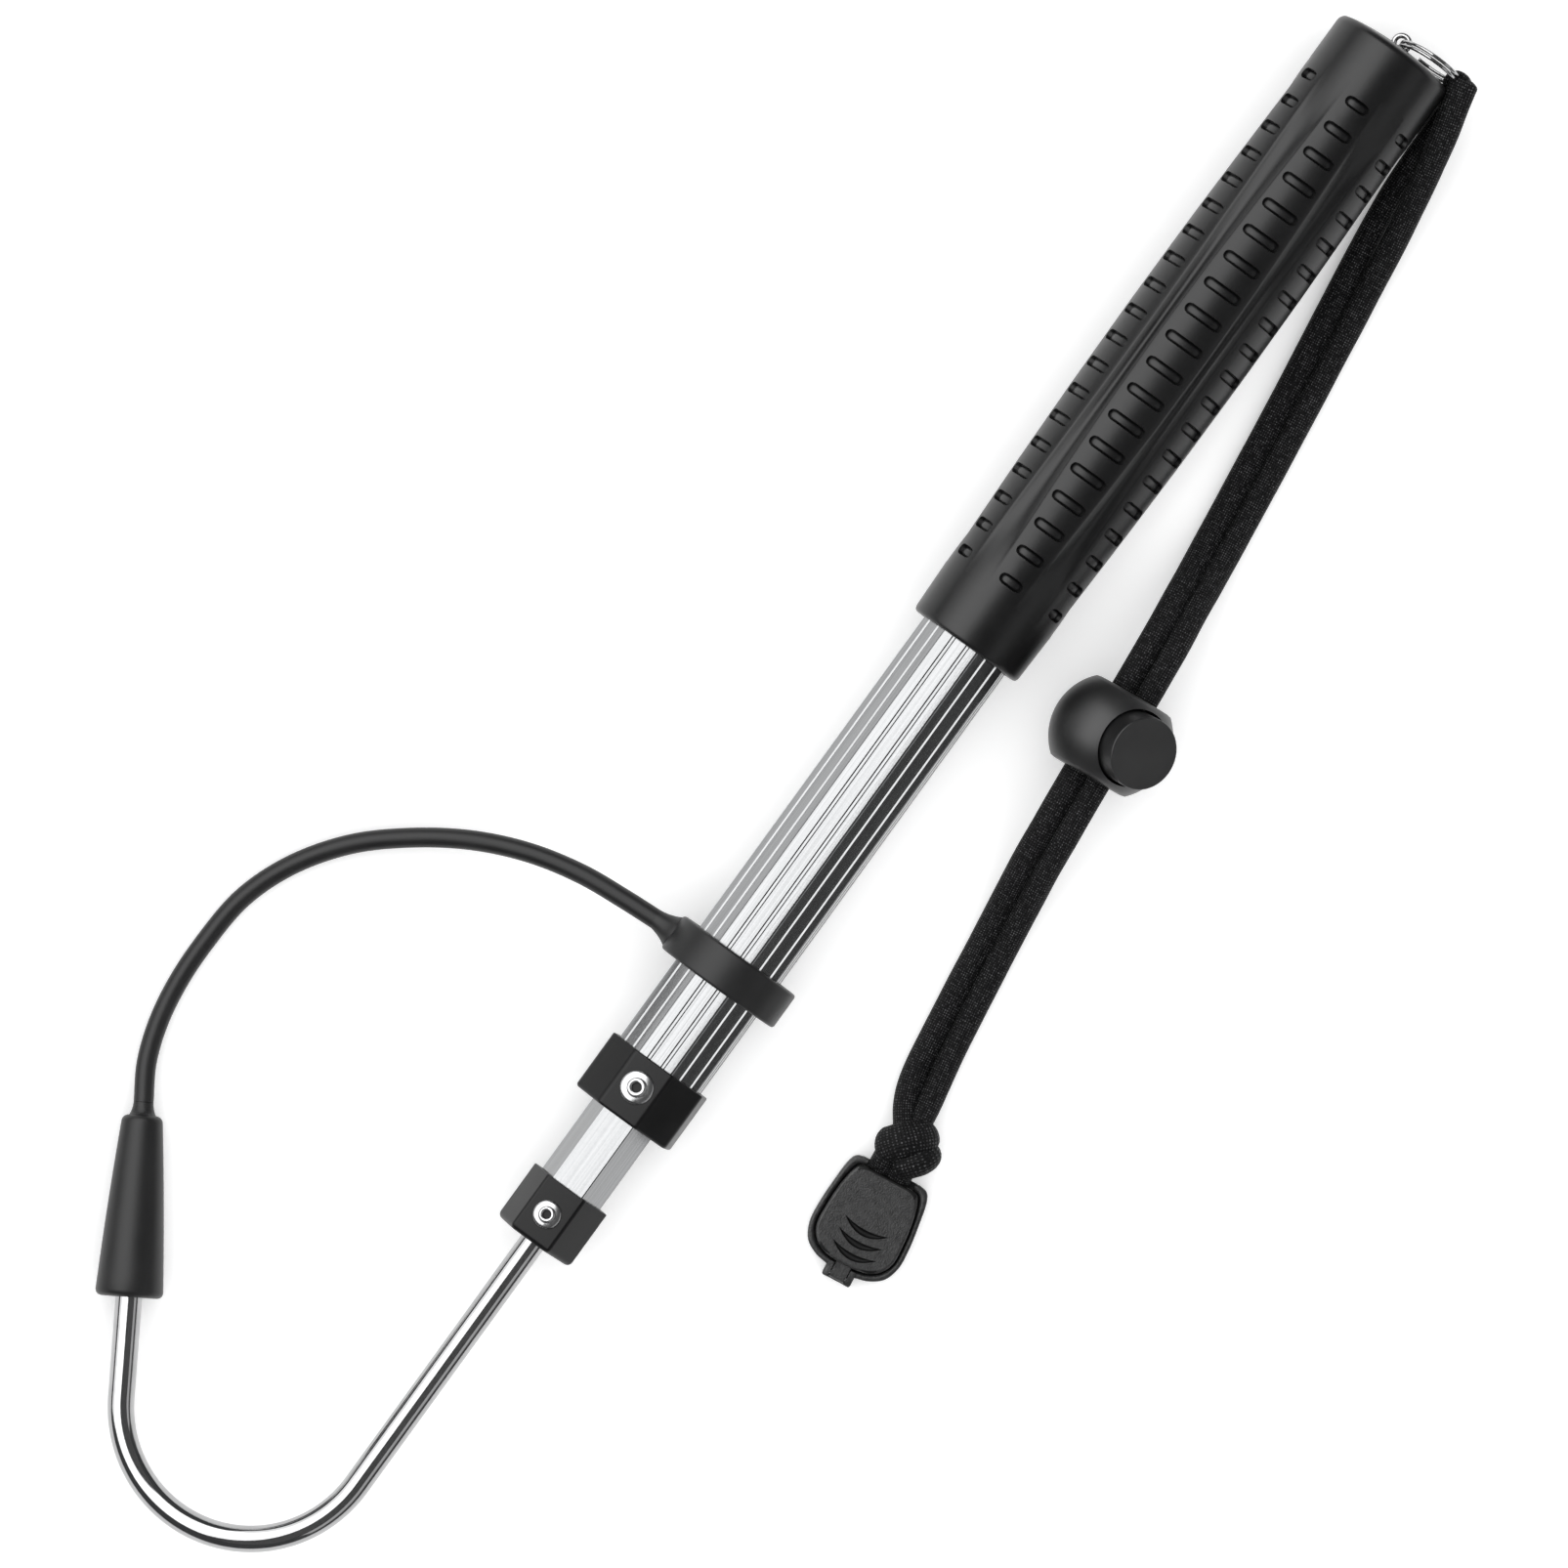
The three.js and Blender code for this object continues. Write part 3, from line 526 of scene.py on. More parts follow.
def grip_ring(x, pocket_offset=None):
    """One ring of the grip's outside. The same steps across each panel land on the pocket's rim, its
    floor, the panel's edge and the valley. pocket_offset is the distance from the pocket's middle."""
    radius = read_off(barrel, x)
    standing = eased(PANEL_BACK - 0.3, PANEL_BACK + 0.4, x)
    standing *= 1 - eased(PANEL_FRONT - 0.4, PANEL_FRONT + 0.3, x)
    sunk = eased(PANEL_BACK, PANEL_BACK + 26, x) * (1 - eased(PANEL_FRONT - 26, PANEL_FRONT, x))
    half_width = read_off(panel_half_width, x)
    nearest = FIRST_POCKET + POCKET_PITCH * round((x - FIRST_POCKET) / POCKET_PITCH)
    nearest = min(max(nearest, FIRST_POCKET), FIRST_POCKET + POCKET_PITCH * (POCKETS - 1))
    length = read_off(pocket_half_length, nearest)
    offset = POCKET_HALF if pocket_offset is None else abs(pocket_offset)
    rim = length - POCKET_HALF + math.sqrt(max(0.0, POCKET_HALF ** 2 - offset ** 2))
    inside = pocket_offset is not None and offset <= POCKET_FLOOR_HALF + 1e-6
    floor_edge = max(0.4, rim - POCKET_WALL)
    if inside:
        floor_edge = length - POCKET_HALF
        floor_edge += math.sqrt(POCKET_FLOOR_HALF ** 2 - min(offset, POCKET_FLOOR_HALF) ** 2)
    depth = POCKET_DEPTH if inside else 0.0
    sector = radius * math.pi / PANELS
    step = PANEL_STEP * (0.12 + 0.88 * sunk) * standing
    crown = POCKET_CROWN * (1 - (offset / POCKET_FLOOR_HALF) ** 4) if inside else 0.0
    half = [(floor_edge * k / 4, radius - depth + crown * (1 - (k / 4) ** 4)) for k in range(5)]
    half += [(rim, radius), (rim + 0.12, radius)]
    half += [(rim + (half_width - 0.45 - rim) * k / 3, radius) for k in (1, 2, 3)]
    half += [(half_width - 0.2, radius - 0.04 * step), (half_width + 0.05, radius - 0.18 * step)]
    half += [(half_width + 0.5, radius - 0.62 * step), (half_width + PANEL_EDGE, radius - 0.9 * step)]
    valley = sector - half_width - PANEL_EDGE
    for k in (1, 2, 3, 4):
        t = k / 4
        curve = math.sin(t * math.pi / 2)
        sunk_to = 0.9 * step + (0.1 * step + VALLEY_DEPTH * sunk) * curve
        half.append((half_width + PANEL_EDGE + valley * t, radius - sunk_to))
    half = half[:-1] + [(sector, half[-1][1])]
    outline = [(-s, r) for s, r in reversed(half)][1:] + half[1:]
    ring = []
    for panel in range(PANELS):
        middle = 2 * math.pi * panel / PANELS
        for s, r in outline:
            angle = middle + s / radius
            ring.append(Vector((x, r * math.sin(angle), r * math.cos(angle))))
    return ring


def round_ring(x, like, reach):
    """A plain ring at x, point for point at the same angles as another one."""
    ring = []
    for p in like:
        angle = math.atan2(p.y, p.z)
        r = reach(angle)
        ring.append(Vector((x, r * math.sin(angle), r * math.cos(angle))))
    return ring


def flats_reach(sides, flats, turn=0.0):
    """How far a regular outline with a flat on top reaches at each angle from the top."""
    part = 2 * math.pi / sides

    def reach(angle):
        off = (angle + turn + part / 2) % part - part / 2
        return flats / 2 / math.cos(off)
    return reach


grip_rings = []
pattern_ring = grip_ring(BARREL_BACK)
for x, r in ((-0.35, 17.65), (0.1, 18.05), (0.7, 18.38), (1.2, 18.54)):
    grip_rings.append(round_ring(x, pattern_ring, lambda angle, r=r: r))
for x in (BARREL_BACK, 4, 8, 12, 13.6, 14.2, 14.5, 14.8, 15.2, 16.4):
    grip_rings.append(grip_ring(x))
across_pocket = [-POCKET_HALF] + [-share * POCKET_FLOOR_HALF for share in (1, 0.85, 0.55, 0)]
across_pocket += [-o for o in reversed(across_pocket[:-1])]
for k in range(POCKETS):
    middle = FIRST_POCKET + POCKET_PITCH * k
    grip_rings.append(grip_ring(middle - POCKET_HALF - 0.12))
    grip_rings += [grip_ring(middle + o, o) for o in across_pocket]
    grip_rings.append(grip_ring(middle + POCKET_HALF + 0.12))
    if k < POCKETS - 1:
        grip_rings.append(grip_ring(middle + POCKET_PITCH * 0.4))
        grip_rings.append(grip_ring(middle + POCKET_PITCH * 0.6))
for x in (187.6, 188.6, 189.0, 189.3, 189.7, 190.4, 193, 197, 201, 204.0):
    grip_rings.append(grip_ring(x))
for x, r in ((204.6, 17.6), (205.1, 17.4), (205.45, 17.1), (205.6, 16.7)):
    grip_rings.append(round_ring(x, pattern_ring, lambda angle, r=r: r))
tube_hole = flats_reach(GRIP_HOLE_SIDES, GRIP_HOLE_FLATS, ROLL)
for x in (205.6, 205.1, 150, 60, 5):
    grip_rings.append(round_ring(x, pattern_ring, tube_hole))
for x, r in ((5, 1.9), (0.2, 1.9), (0, 4.0), (-1.7, 4.1), (-1.95, 4.4), (-1.95, 7), (-1.8, 9.5),
             (-1.5, 12), (-1.15, 14.2), (-0.8, 16)):
    grip_rings.append(round_ring(x, pattern_ring, lambda angle, r=r: r))
grip = skin("grip_sleeve", grip_rings, axis_frame, closed=True)
grip_rubber = moulded("grip_rubber", GRIP_DARK, GRIP_LIGHT, rough=0.36, grain=0.3, depth=0.012, specular=0.42)
fit(crisp(grip, 50), grip_rubber, "outer_section", ["grip"])

# ---- aluminium tubes ----
# The outer tube is an extruded octagon with two fine flutes along each flat, and the inner one a
# plain hexagon that slides in it. Both are drawn, bright-dipped and clear-anodised.
OUTER_SIDES = 8
INNER_SIDES = 6
TUBE_FLATS = 27.0
TUBE_BORE = 24.6
TUBE_BACK = 4
TUBE_FRONT = 366
FLUTE_OFFSET = 2.35
FLUTE_HALF = 0.68
FLUTE_WALL = 0.36
FLUTE_DEPTH = 0.36
INNER_FLATS = 17.6
INNER_BORE = 15.6
INNER_BACK = 47
INNER_FRONT = 409
TUBE_EDGE = 0.15
TUBE_DARK = (0.245, 0.248, 0.251)
TUBE_LIGHT = (0.30, 0.303, 0.307)
DIE_LINE_STRETCH = 0.006


def outline(sides, flats, corner, flutes=()):
    """One turn of a regular outline with rounded corners and grooves at the given offsets, as
    (angle from the top, distance from the middle)."""
    half = flats / 2
    half_side = half * math.tan(math.pi / sides)
    floor_half = FLUTE_HALF - FLUTE_WALL
    flat = []
    for centre in sorted(flutes):
        flat += [(centre - FLUTE_HALF, half), (centre - floor_half, half - FLUTE_DEPTH)]
        flat += [(centre + floor_half, half - FLUTE_DEPTH), (centre + FLUTE_HALF, half)]
    points = []
    for side in range(sides):
        turn = 2 * math.pi * side / sides
        for s, h in [(-half_side + corner * 0.55, half), *flat, (half_side - corner * 0.55, half)]:
            points.append((turn + math.atan2(s, h), math.hypot(s, h)))
        tip = turn + math.pi / sides
        bulge = (half - 0.05 * corner) / math.cos(math.pi / sides)
        points.append((tip, bulge - 0.08 * corner))
    return points


def outline_ring(x, points, inset=0.0):
    """An outline as a ring across the pole, drawn in by inset all round."""
    return [Vector((x, (r - inset) * math.sin(a), (r - inset) * math.cos(a))) for a, r in points]


def even_shading(piece):
    """Lets the flats keep one shade up to their rounded edges."""
    piece.modifiers.new("even_shading", "WEIGHTED_NORMAL").keep_sharp = True
    return piece


def drawn_tube(name, points, bore, back, front):
    """A length of tube, its cut ends deburred."""
    hole = [Vector((0, p.y, p.z)) for p in outline_ring(0, points)]
    rings = [
        outline_ring(back, points, TUBE_EDGE), outline_ring(back + TUBE_EDGE, points),
        outline_ring(front - TUBE_EDGE, points), outline_ring(front, points, TUBE_EDGE),
        round_ring(front, hole, bore), round_ring(back, hole, bore),
    ]
    return even_shading(crisp(skin(name, rings, pole_frame, closed=True), 25))


def anodised(name, dark, light, rough):
    """Drawn aluminium: die lines all along the tube and a satin bloom."""
    material, nodes, shader, links = finish_named(name)
    stretch = nodes.new("ShaderNodeMapping")
    stretch.inputs["Scale"].default_value = (DIE_LINE_STRETCH, 1, 1)
    links.new(nodes.new("ShaderNodeTexCoord").outputs["Object"], stretch.inputs["Vector"])
    die_lines = noise_through(nodes, links, 2200, 3, stretch.outputs["Vector"])
    links.new(two_tone(nodes, links, die_lines, dark, light), shader.inputs["Base Color"])
    bloom = noise_through(nodes, links, 1400, 4)
    uneven_gloss(nodes, links, shader, bloom, rough - 0.06, rough + 0.08)
    shader.inputs["Metallic"].default_value = 1
    raised(nodes, links, shader, bloom, 0.009)
    return material


tube_metal = anodised("tube_aluminium", TUBE_DARK, TUBE_LIGHT, rough=0.16)
fluted_octagon = outline(OUTER_SIDES, TUBE_FLATS, 0.8, (-FLUTE_OFFSET, FLUTE_OFFSET))
outer_tube = drawn_tube("outer_tube_drawn", fluted_octagon, flats_reach(OUTER_SIDES, TUBE_BORE),
                        TUBE_BACK, TUBE_FRONT)
inner_tube = drawn_tube("inner_tube_drawn", outline(INNER_SIDES, INNER_FLATS, 0.6),
                        flats_reach(INNER_SIDES, INNER_BORE), INNER_BACK, INNER_FRONT)
fit(outer_tube, tube_metal, "outer_section", ["outer_tube"])
fit(inner_tube, tube_metal, "inner_section", ["inner_tube"])

# ---- collars ----
# Black glass-filled nylon mouldings: the outer one is a sleeve over the tube's mouth with a
# hexagonal hole that guides the inner tube, the inner one caps the inner tube round the hook.
OUTER_COLLAR = (351.3, 369.6)
OUTER_COLLAR_FLATS = 31.2
INNER_COLLAR = (394.2, 412.4)
INNER_COLLAR_FLATS = 22.0
WIRE = 7.6
GAP = 0.3
NYLON_DARK = (0.002, 0.002, 0.0022)
NYLON_LIGHT = (0.0036, 0.0036, 0.0038)


def quarter_round(steps):
    """A quarter turn of a rounded edge from its start to its end, as (in, along) shares of its radius."""
    turns = [math.pi / 2 * k / steps for k in range(steps + 1)]
    return [(1 - math.cos(turn), 1 - math.sin(turn)) for turn in turns]


def outline_block(name, points, back, front, back_round, front_round):
    """A closed prism with its two end edges rounded."""
    rings = []
    for inset, along in reversed(quarter_round(3)):
        rings.append(outline_ring(back + back_round * along, points, back_round * inset))
    for inset, along in quarter_round(5):
        rings.append(outline_ring(front - front_round * along, points, front_round * inset))
    return skin(name, rings, pole_frame)


def combine(piece, operation, others):
    """Joins other pieces to one or takes them out of it, and leaves only that one."""
    for other in others:
        step = piece.modifiers.new("combine", "BOOLEAN")
        step.operation = operation
        step.solver = "EXACT"
        step.object = other
    bpy.context.view_layer.update()
    shape = piece.evaluated_get(bpy.context.evaluated_depsgraph_get())
    mesh = bpy.data.meshes.new_from_object(shape)
    piece.modifiers.clear()
    piece.data = mesh
    for other in others:
        bpy.data.objects.remove(other)
    return piece


def carve(piece, *cutters):
    """Cuts pieces out of another and throws them away."""
    return combine(piece, "DIFFERENCE", cutters)


def plain_block(name, sides, flats, back, front):
    """A sharp-ended prism, for cutting a hole."""
    points = outline(sides, flats, 0.4)
    return skin(name, [outline_ring(back, points), outline_ring(front, points)], pole_frame)


collar_nylon = moulded("collar_nylon", NYLON_DARK, NYLON_LIGHT, rough=0.35, grain=0.25, depth=0.012,
                       specular=0.23)
outer_collar = outline_block("outer_collar_moulded", outline(OUTER_SIDES, OUTER_COLLAR_FLATS, 1.6),
                             *OUTER_COLLAR, back_round=0.4, front_round=1.0)
carve(outer_collar,
      plain_block("tube_pocket", OUTER_SIDES, TUBE_FLATS + 2 * GAP, OUTER_COLLAR[0] - 1, TUBE_FRONT + GAP),
      plain_block("collar_mouth", INNER_SIDES, INNER_FLATS + 2 * GAP, TUBE_FRONT - 1, OUTER_COLLAR[1] + 1))
inner_collar = outline_block("inner_collar_moulded", outline(INNER_SIDES, INNER_COLLAR_FLATS, 1.3),
                             *INNER_COLLAR, back_round=0.25, front_round=1.7)
carve(inner_collar,
      plain_block("inner_pocket", INNER_SIDES, INNER_FLATS + 2 * GAP, INNER_COLLAR[0] - 1, INNER_FRONT + GAP),
      plain_block("hook_hole", 24, WIRE + 2 * GAP, INNER_FRONT - 1, INNER_COLLAR[1] + 1))
fit(even_shading(crisp(outer_collar, 35)), collar_nylon, "outer_section",
    ["outer_collar"])
fit(even_shading(crisp(inner_collar, 35)), collar_nylon, "inner_section",
    ["inner_collar"])

# ---- rivets ----
# Aluminium blind rivets, one through each collar: a domed flange with a raised crown round the
# hole that the mandrel broke off in.
OUTER_RIVET_X = 359.8
INNER_RIVET_X = 403.5
RIVET_DARK = (0.38, 0.382, 0.385)
RIVET_LIGHT = (0.46, 0.462, 0.465)
RIVET_LIFT = 0.06


def turned(name, profile, sides, place, closed=True):
    """A lathe-turned piece. The profile's rows are (radius, height), the axis is the place's Z."""
    rings = []
    for r, h in profile:
        rings.append([
            Vector((r * math.cos(a), r * math.sin(a), h))
            for a in (2 * math.pi * k / sides for k in range(sides))
        ])
    return skin(name, rings, place, closed=closed)


def rivet(name, x, seat, flange, crown, hole, stem):
    """A set rivet, given the radii of its flange, its crown, the hole in it and its stem."""
    profile = [
        (0.02, seat - 2.2), (0.5, seat - 2.2), (hole - 0.15, seat - 1.9), (hole, seat - 1.4),
        (hole, seat + 0.75), (hole + 0.08, seat + 0.98), (hole + 0.3, seat + 1.14),
        (crown - 0.45, seat + 1.16), (crown - 0.12, seat + 1.05), (crown, seat + 0.86),
        (crown + 0.1, seat + 0.78), (crown + 0.3, seat + 0.76), (flange - 0.75, seat + 0.62),
        (flange - 0.3, seat + 0.42), (flange - 0.06, seat + 0.22), (flange, seat + 0.05),
        (flange - 0.05, seat - 0.05), (stem, seat - 0.1), (stem, seat - 6), (0.02, seat - 6),
    ]
    return crisp(turned(name, profile, 72, pole_frame @ Matrix.Translation((x, 0, 0))), 50)


def rivet_finish():
    """Dull aluminium, marked by the setting tool."""
    material, nodes, shader, links = finish_named("rivet_aluminium")
    dents = noise_through(nodes, links, 900, 3)
    links.new(two_tone(nodes, links, dents, RIVET_DARK, RIVET_LIGHT), shader.inputs["Base Color"])
    uneven_gloss(nodes, links, shader, dents, 0.12, 0.3)
    shader.inputs["Metallic"].default_value = 1
    raised(nodes, links, shader, dents, 0.012)
    return material


rivet_metal = rivet_finish()
outer_seat = OUTER_COLLAR_FLATS / 2 + RIVET_LIFT
inner_seat = INNER_COLLAR_FLATS / 2 + RIVET_LIFT
outer_rivet = rivet("outer_rivet_set", OUTER_RIVET_X, outer_seat,
                    flange=4.8, crown=2.7, hole=1.35, stem=2.4)
inner_rivet = rivet("inner_rivet_set", INNER_RIVET_X, inner_seat,
                    flange=4.1, crown=2.3, hole=1.15, stem=2.0)
fit(outer_rivet, rivet_metal, "outer_section", ["outer_rivet"])
fit(inner_rivet, rivet_metal, "inner_section", ["inner_rivet"])

# ---- hook ----
# Stainless wire, 7.6 mm, bent cold round a former, ground to a point and polished bright.
SHANK_BACK = 371
COVERED = 30
POINT = 13
HOOK_SIDES = 48
STEEL_DARK = (0.36, 0.36, 0.363)
STEEL_LIGHT = (0.41, 0.41, 0.413)
hook_route = [Vector((SHANK_BACK + (BEND_X - SHANK_BACK) * k / 30, 0, 0)) for k in range(30)]
for k in range(91):
    angle = math.pi / 2 - BEND_TURN * k / 90
    hook_route.append(Vector((
        BEND_X + BEND_RADIUS * math.cos(angle), -BEND_RADIUS + BEND_RADIUS * math.sin(angle), 0)))
for k in range(1, 21):
    hook_route.append(bend_end + leg_way * ((LEG + COVERED) * k / 20))
for k in range(1, 13):
    hook_route.append(bend_end + leg_way * (LEG + COVERED + POINT * k / 12))
point_start = measured(hook_route)[-1] - POINT


def wire_reach(distance, angle):
    """The wire's radius: full along the shank and bend, then ground down to the point."""
    ground = max(0.0, (distance - point_start) / POINT)
    chamfer = 0.5 * max(0.0, 1 - distance)
    return max(0.05, (WIRE / 2 - chamfer) * (1 - 0.45 * ground - 0.55 * ground ** 2))


hook_rings, hook_marks = tube_rings(hook_route, HOOK_SIDES, wire_reach)
hook = skin("hook_wire", hook_rings, pole_frame, marks=hook_marks)


def polished_steel(name, rough, scratch):
    """Bright steel: polishing marks and a faint unevenness in its gloss."""
    material, nodes, shader, links = finish_named(name)
    haze = noise_through(nodes, links, 160, 5)
    links.new(two_tone(nodes, links, haze, STEEL_DARK, STEEL_LIGHT), shader.inputs["Base Color"])
    uneven_gloss(nodes, links, shader, haze, rough, rough + 0.06)
    shader.inputs["Metallic"].default_value = 1
    raised(nodes, links, shader, noise_through(nodes, links, 2600, 2), scratch)
    return material


hook_steel = polished_steel("hook_steel", rough=0.07, scratch=0.002)
fit(crisp(hook, 60), hook_steel, "inner_section", ["hook"])

# ---- point guard ----
# The cap and the band are moulded in the same soft rubber as the tether: a cone that pushes over
# the point, and a thick band stretched over the tube, with a flared root where the tether leaves.
CAP_MOUTH = 9.6
CAP_TOP = 5.9
BAND_BACK = 313.2
BAND_FRONT = 324.4
BAND_RADIUS = 19.4
BAND_BORE = 15.0
BAND_ROUND = 0.9


def facing(way):
    """The turn that points Z along a direction."""
    return way.to_track_quat("Z", "Y").to_matrix().to_4x4()


on_leg = Matrix.Translation(bend_end + leg_way * LEG) @ facing(leg_way)
cap_profile = [
    (0.05, COVERED + POINT + 3), (WIRE / 4, COVERED + POINT * 0.6 + 3), (WIRE / 2 + GAP, COVERED + 2.5),
    (WIRE / 2 + GAP, 0.5), (WIRE / 2 + GAP + 0.4, 0.08), (WIRE / 2 + GAP + 0.9, 0),
    (CAP_MOUTH - 1.6, 0), (CAP_MOUTH - 0.8, 0.25), (CAP_MOUTH - 0.25, 0.8), (CAP_MOUTH, 1.7),
]
for k in range(1, 12):
    t = k / 12
    bulge = 0.22 * math.sin(math.pi * t)
    cap_profile.append((CAP_MOUTH + (CAP_TOP - CAP_MOUTH) * t + bulge, 1.7 + (CAP_LENGTH - 3.7) * t))
for k in range(7):
    turn = math.pi / 2 * k / 6
    cap_profile.append((CAP_TOP - 2.0 * (1 - math.cos(turn)) - 0.1 * k / 6,
                        CAP_LENGTH - 2.0 + 2.0 * math.sin(turn)))
for t in (0.25, 0.5, 0.75, 1):
    waist = (1 - t) ** 2
    cap_profile.append((TETHER / 2 + (CAP_TOP - 2.1 - TETHER / 2) * waist, CAP_LENGTH + CAP_NECK * t))
cap_profile.append((0.05, CAP_LENGTH + CAP_NECK))
cap = crisp(turned("guard_cap_moulded", cap_profile, 72, pole_frame @ on_leg), 60)
fit(cap, guard_rubber, "point_guard", ["guard_cap"])

band_profile = []
for along, inset in quarter_round(6):
    band_profile.append((BAND_RADIUS - BAND_ROUND * inset, BAND_BACK + BAND_ROUND * along))
for inset, along in quarter_round(6):
    band_profile.append((BAND_RADIUS - BAND_ROUND * inset, BAND_FRONT - BAND_ROUND * along))
band_profile += [(BAND_BORE, BAND_FRONT), (BAND_BORE, BAND_BACK)]
along_pole = Matrix.Rotation(math.pi / 2, 4, "Y")
band = turned("guard_band_moulded", band_profile, 96, pole_frame @ along_pole)
root_profile = [(0.05, 17), (5.3, 17), (5.25, 18.6), (5.0, 19.3), (4.5, 20.1), (4.0, 21.1),
                (3.55, 22.3), (3.2, 23.5), (2.95, 24.6), (TETHER / 2, 25.4), (0.05, 25.4)]
root_place = pole_frame @ Matrix.Translation((BAND_MIDDLE, 0, 0)) @ Matrix.Rotation(math.pi / 2, 4, "X")
root = turned("tether_root", root_profile, 48, root_place)


def weld(piece, other):
    """Makes two overlapping pieces one."""
    return combine(piece, "UNION", [other])


fit(crisp(weld(band, root), 40), guard_rubber, "outer_section", ["guard_band"])

# ---- butt eye and split ring ----
# A small steel screw eye in the butt carries a two-turn split ring of spring wire.
EYE_X = -3.6
EYE_RADIUS = 2.2
EYE_WIRE = 1.7
THREAD_PITCH = 1.1
THREAD_DEPTH = 0.14
RING_RADIUS = 9.6
RING_WIRE = 1.05
RING_LEAN = 1.2
COIL_GAP = 1.12
ring_steel = polished_steel("ring_steel", rough=0.1, scratch=0.0003)
eye_route = []
for k in range(57):
    angle = math.radians(12 + 330 * k / 56)
    eye_route.append(Vector((EYE_X + EYE_RADIUS * math.cos(angle), EYE_RADIUS * math.sin(angle), 0)))
eye_rings, eye_marks = tube_rings(eye_route, 20, lambda distance, angle: EYE_WIRE / 2)
eye = skin("screw_eye", eye_rings, pole_frame, marks=eye_marks)
shank_route = bent_through([(-1.6, 0.2, 0), (-0.6, 0, 0), (1, 0, 0), (11, 0, 0), (22.5, 0, 0)], 40)


def thread_reach(distance, angle):
    """The eye's shank, plain at first and then threaded to its tip."""
    wave = math.sin(2 * math.pi * distance / THREAD_PITCH - angle)
    thread = THREAD_DEPTH * wave * eased(2.5, 4, distance)
    return 1.0 + 0.35 * eased(0.5, 2.2, distance) + thread - 0.5 * eased(21.5, 24, distance)


shank_rings, shank_marks = tube_rings(shank_route, 20, thread_reach)
weld(eye, skin("eye_shank", shank_rings, pole_frame, marks=shank_marks))
fit(crisp(eye, 50), ring_steel, "outer_section", ["butt_eye"])

ring_route = []
for k in range(361):
    t = k / 360
    angle = -math.pi * 0.6 + t * 3.9 * math.pi
    ring_route.append(Vector((
        EYE_X + (t - 0.5) * 2.05 * RING_WIRE * COIL_GAP - RING_LEAN * math.sin(angle),
        RING_RADIUS + RING_RADIUS * math.cos(angle),
        AXIS_HEIGHT + RING_RADIUS * math.sin(angle))))
ring_rings, ring_marks = tube_rings(ring_route, 16, lambda distance, angle: RING_WIRE / 2, up=(1, 0, 0))
ring = skin("split_ring_wire", ring_rings, floor_frame, marks=ring_marks)
fit(ring, ring_steel, "ring", ["split_ring"])

# ---- cord lock ----
# A ball moulded in black acetal, cut flat where the cord goes in and out. Its sprung button fits a
# well across the cord's slot and grips both strands.
LOCK_RADIUS = 17.6
LOCK_HALF_LENGTH = 13.1
LOCK_CENTRE = (202, 48.1, LOCK_RADIUS)
LOCK_YAW = math.atan(0.1)
BUTTON_TILT = math.radians(31)
BUTTON_RADIUS = 10.5
BUTTON_TOP = 20
BUTTON_BOTTOM = -7.5
BUTTON_TRAVEL = 4
BUTTON_ROUND = 0.5
WELL_RADIUS = 11.3
WELL_BOTTOM = -12
STRAND_HALF_GAP = 3.55
SLOT_PLAY = 0.5
ACETAL_DARK = (0.009, 0.009, 0.0093)
ACETAL_LIGHT = (0.013, 0.013, 0.0133)
lock_frame = floor_frame @ Matrix.Translation(LOCK_CENTRE) @ Matrix.Rotation(LOCK_YAW, 4, "Z")
button_frame = lock_frame @ Matrix.Rotation(-BUTTON_TILT, 4, "X")
ball_profile = [(0.05, -LOCK_HALF_LENGTH)]
flat_radius = math.sqrt(LOCK_RADIUS ** 2 - LOCK_HALF_LENGTH ** 2)
ball_profile.append((flat_radius - 0.9, -LOCK_HALF_LENGTH))
for k in range(25):
    angle = math.asin(LOCK_HALF_LENGTH / LOCK_RADIUS) * (k / 12 - 1) * 0.975
    ball_profile.append((LOCK_RADIUS * math.cos(angle), LOCK_RADIUS * math.sin(angle)))
ball_profile += [(flat_radius - 0.9, LOCK_HALF_LENGTH), (0.05, LOCK_HALF_LENGTH)]
ball = turned("lock_ball", ball_profile, 128, lock_frame @ along_pole, closed=False)
well = turned("lock_well", [(WELL_RADIUS, WELL_BOTTOM), (WELL_RADIUS, 25)], 96, button_frame,
              closed=False)


def slot_outline(half_width, half_height, steps):
    """A round-ended slot, wide across and flat, as (across, up) points."""
    inner = half_width - half_height
    points = []
    for sign in (1, -1):
        for k in range(steps + 1):
            angle = -math.pi / 2 + math.pi * k / steps
            points.append((sign * (inner + half_height * math.cos(angle)),
                           sign * half_height * math.sin(angle)))
    return points


slot_half_height = CORD / 2 + SLOT_PLAY
passage = skin("lock_passage", [
    [Vector((x, a, b)) for a, b in slot_outline(STRAND_HALF_GAP + slot_half_height, slot_half_height, 16)]
    for x in (-LOCK_RADIUS - 2, LOCK_RADIUS + 2)
], lock_frame)
carve(ball, well, passage)


def softened(piece, width, degrees):
    """Rounds every edge sharper than the angle, as a mould does."""
    edge = piece.modifiers.new("soft_edges", "BEVEL")
    edge.width = width * MM
    edge.segments = 2
    edge.limit_method = "ANGLE"
    edge.angle_limit = math.radians(degrees)
    edge.use_clamp_overlap = True
    edge.harden_normals = False
    return piece


lock_acetal = moulded("lock_acetal", ACETAL_DARK, ACETAL_LIGHT, rough=0.4, grain=0.3, depth=0.012,
                      specular=0.5)
fit(softened(crisp(ball, 40), 0.22, 40), lock_acetal, "cord_lock", ["lock_body"])

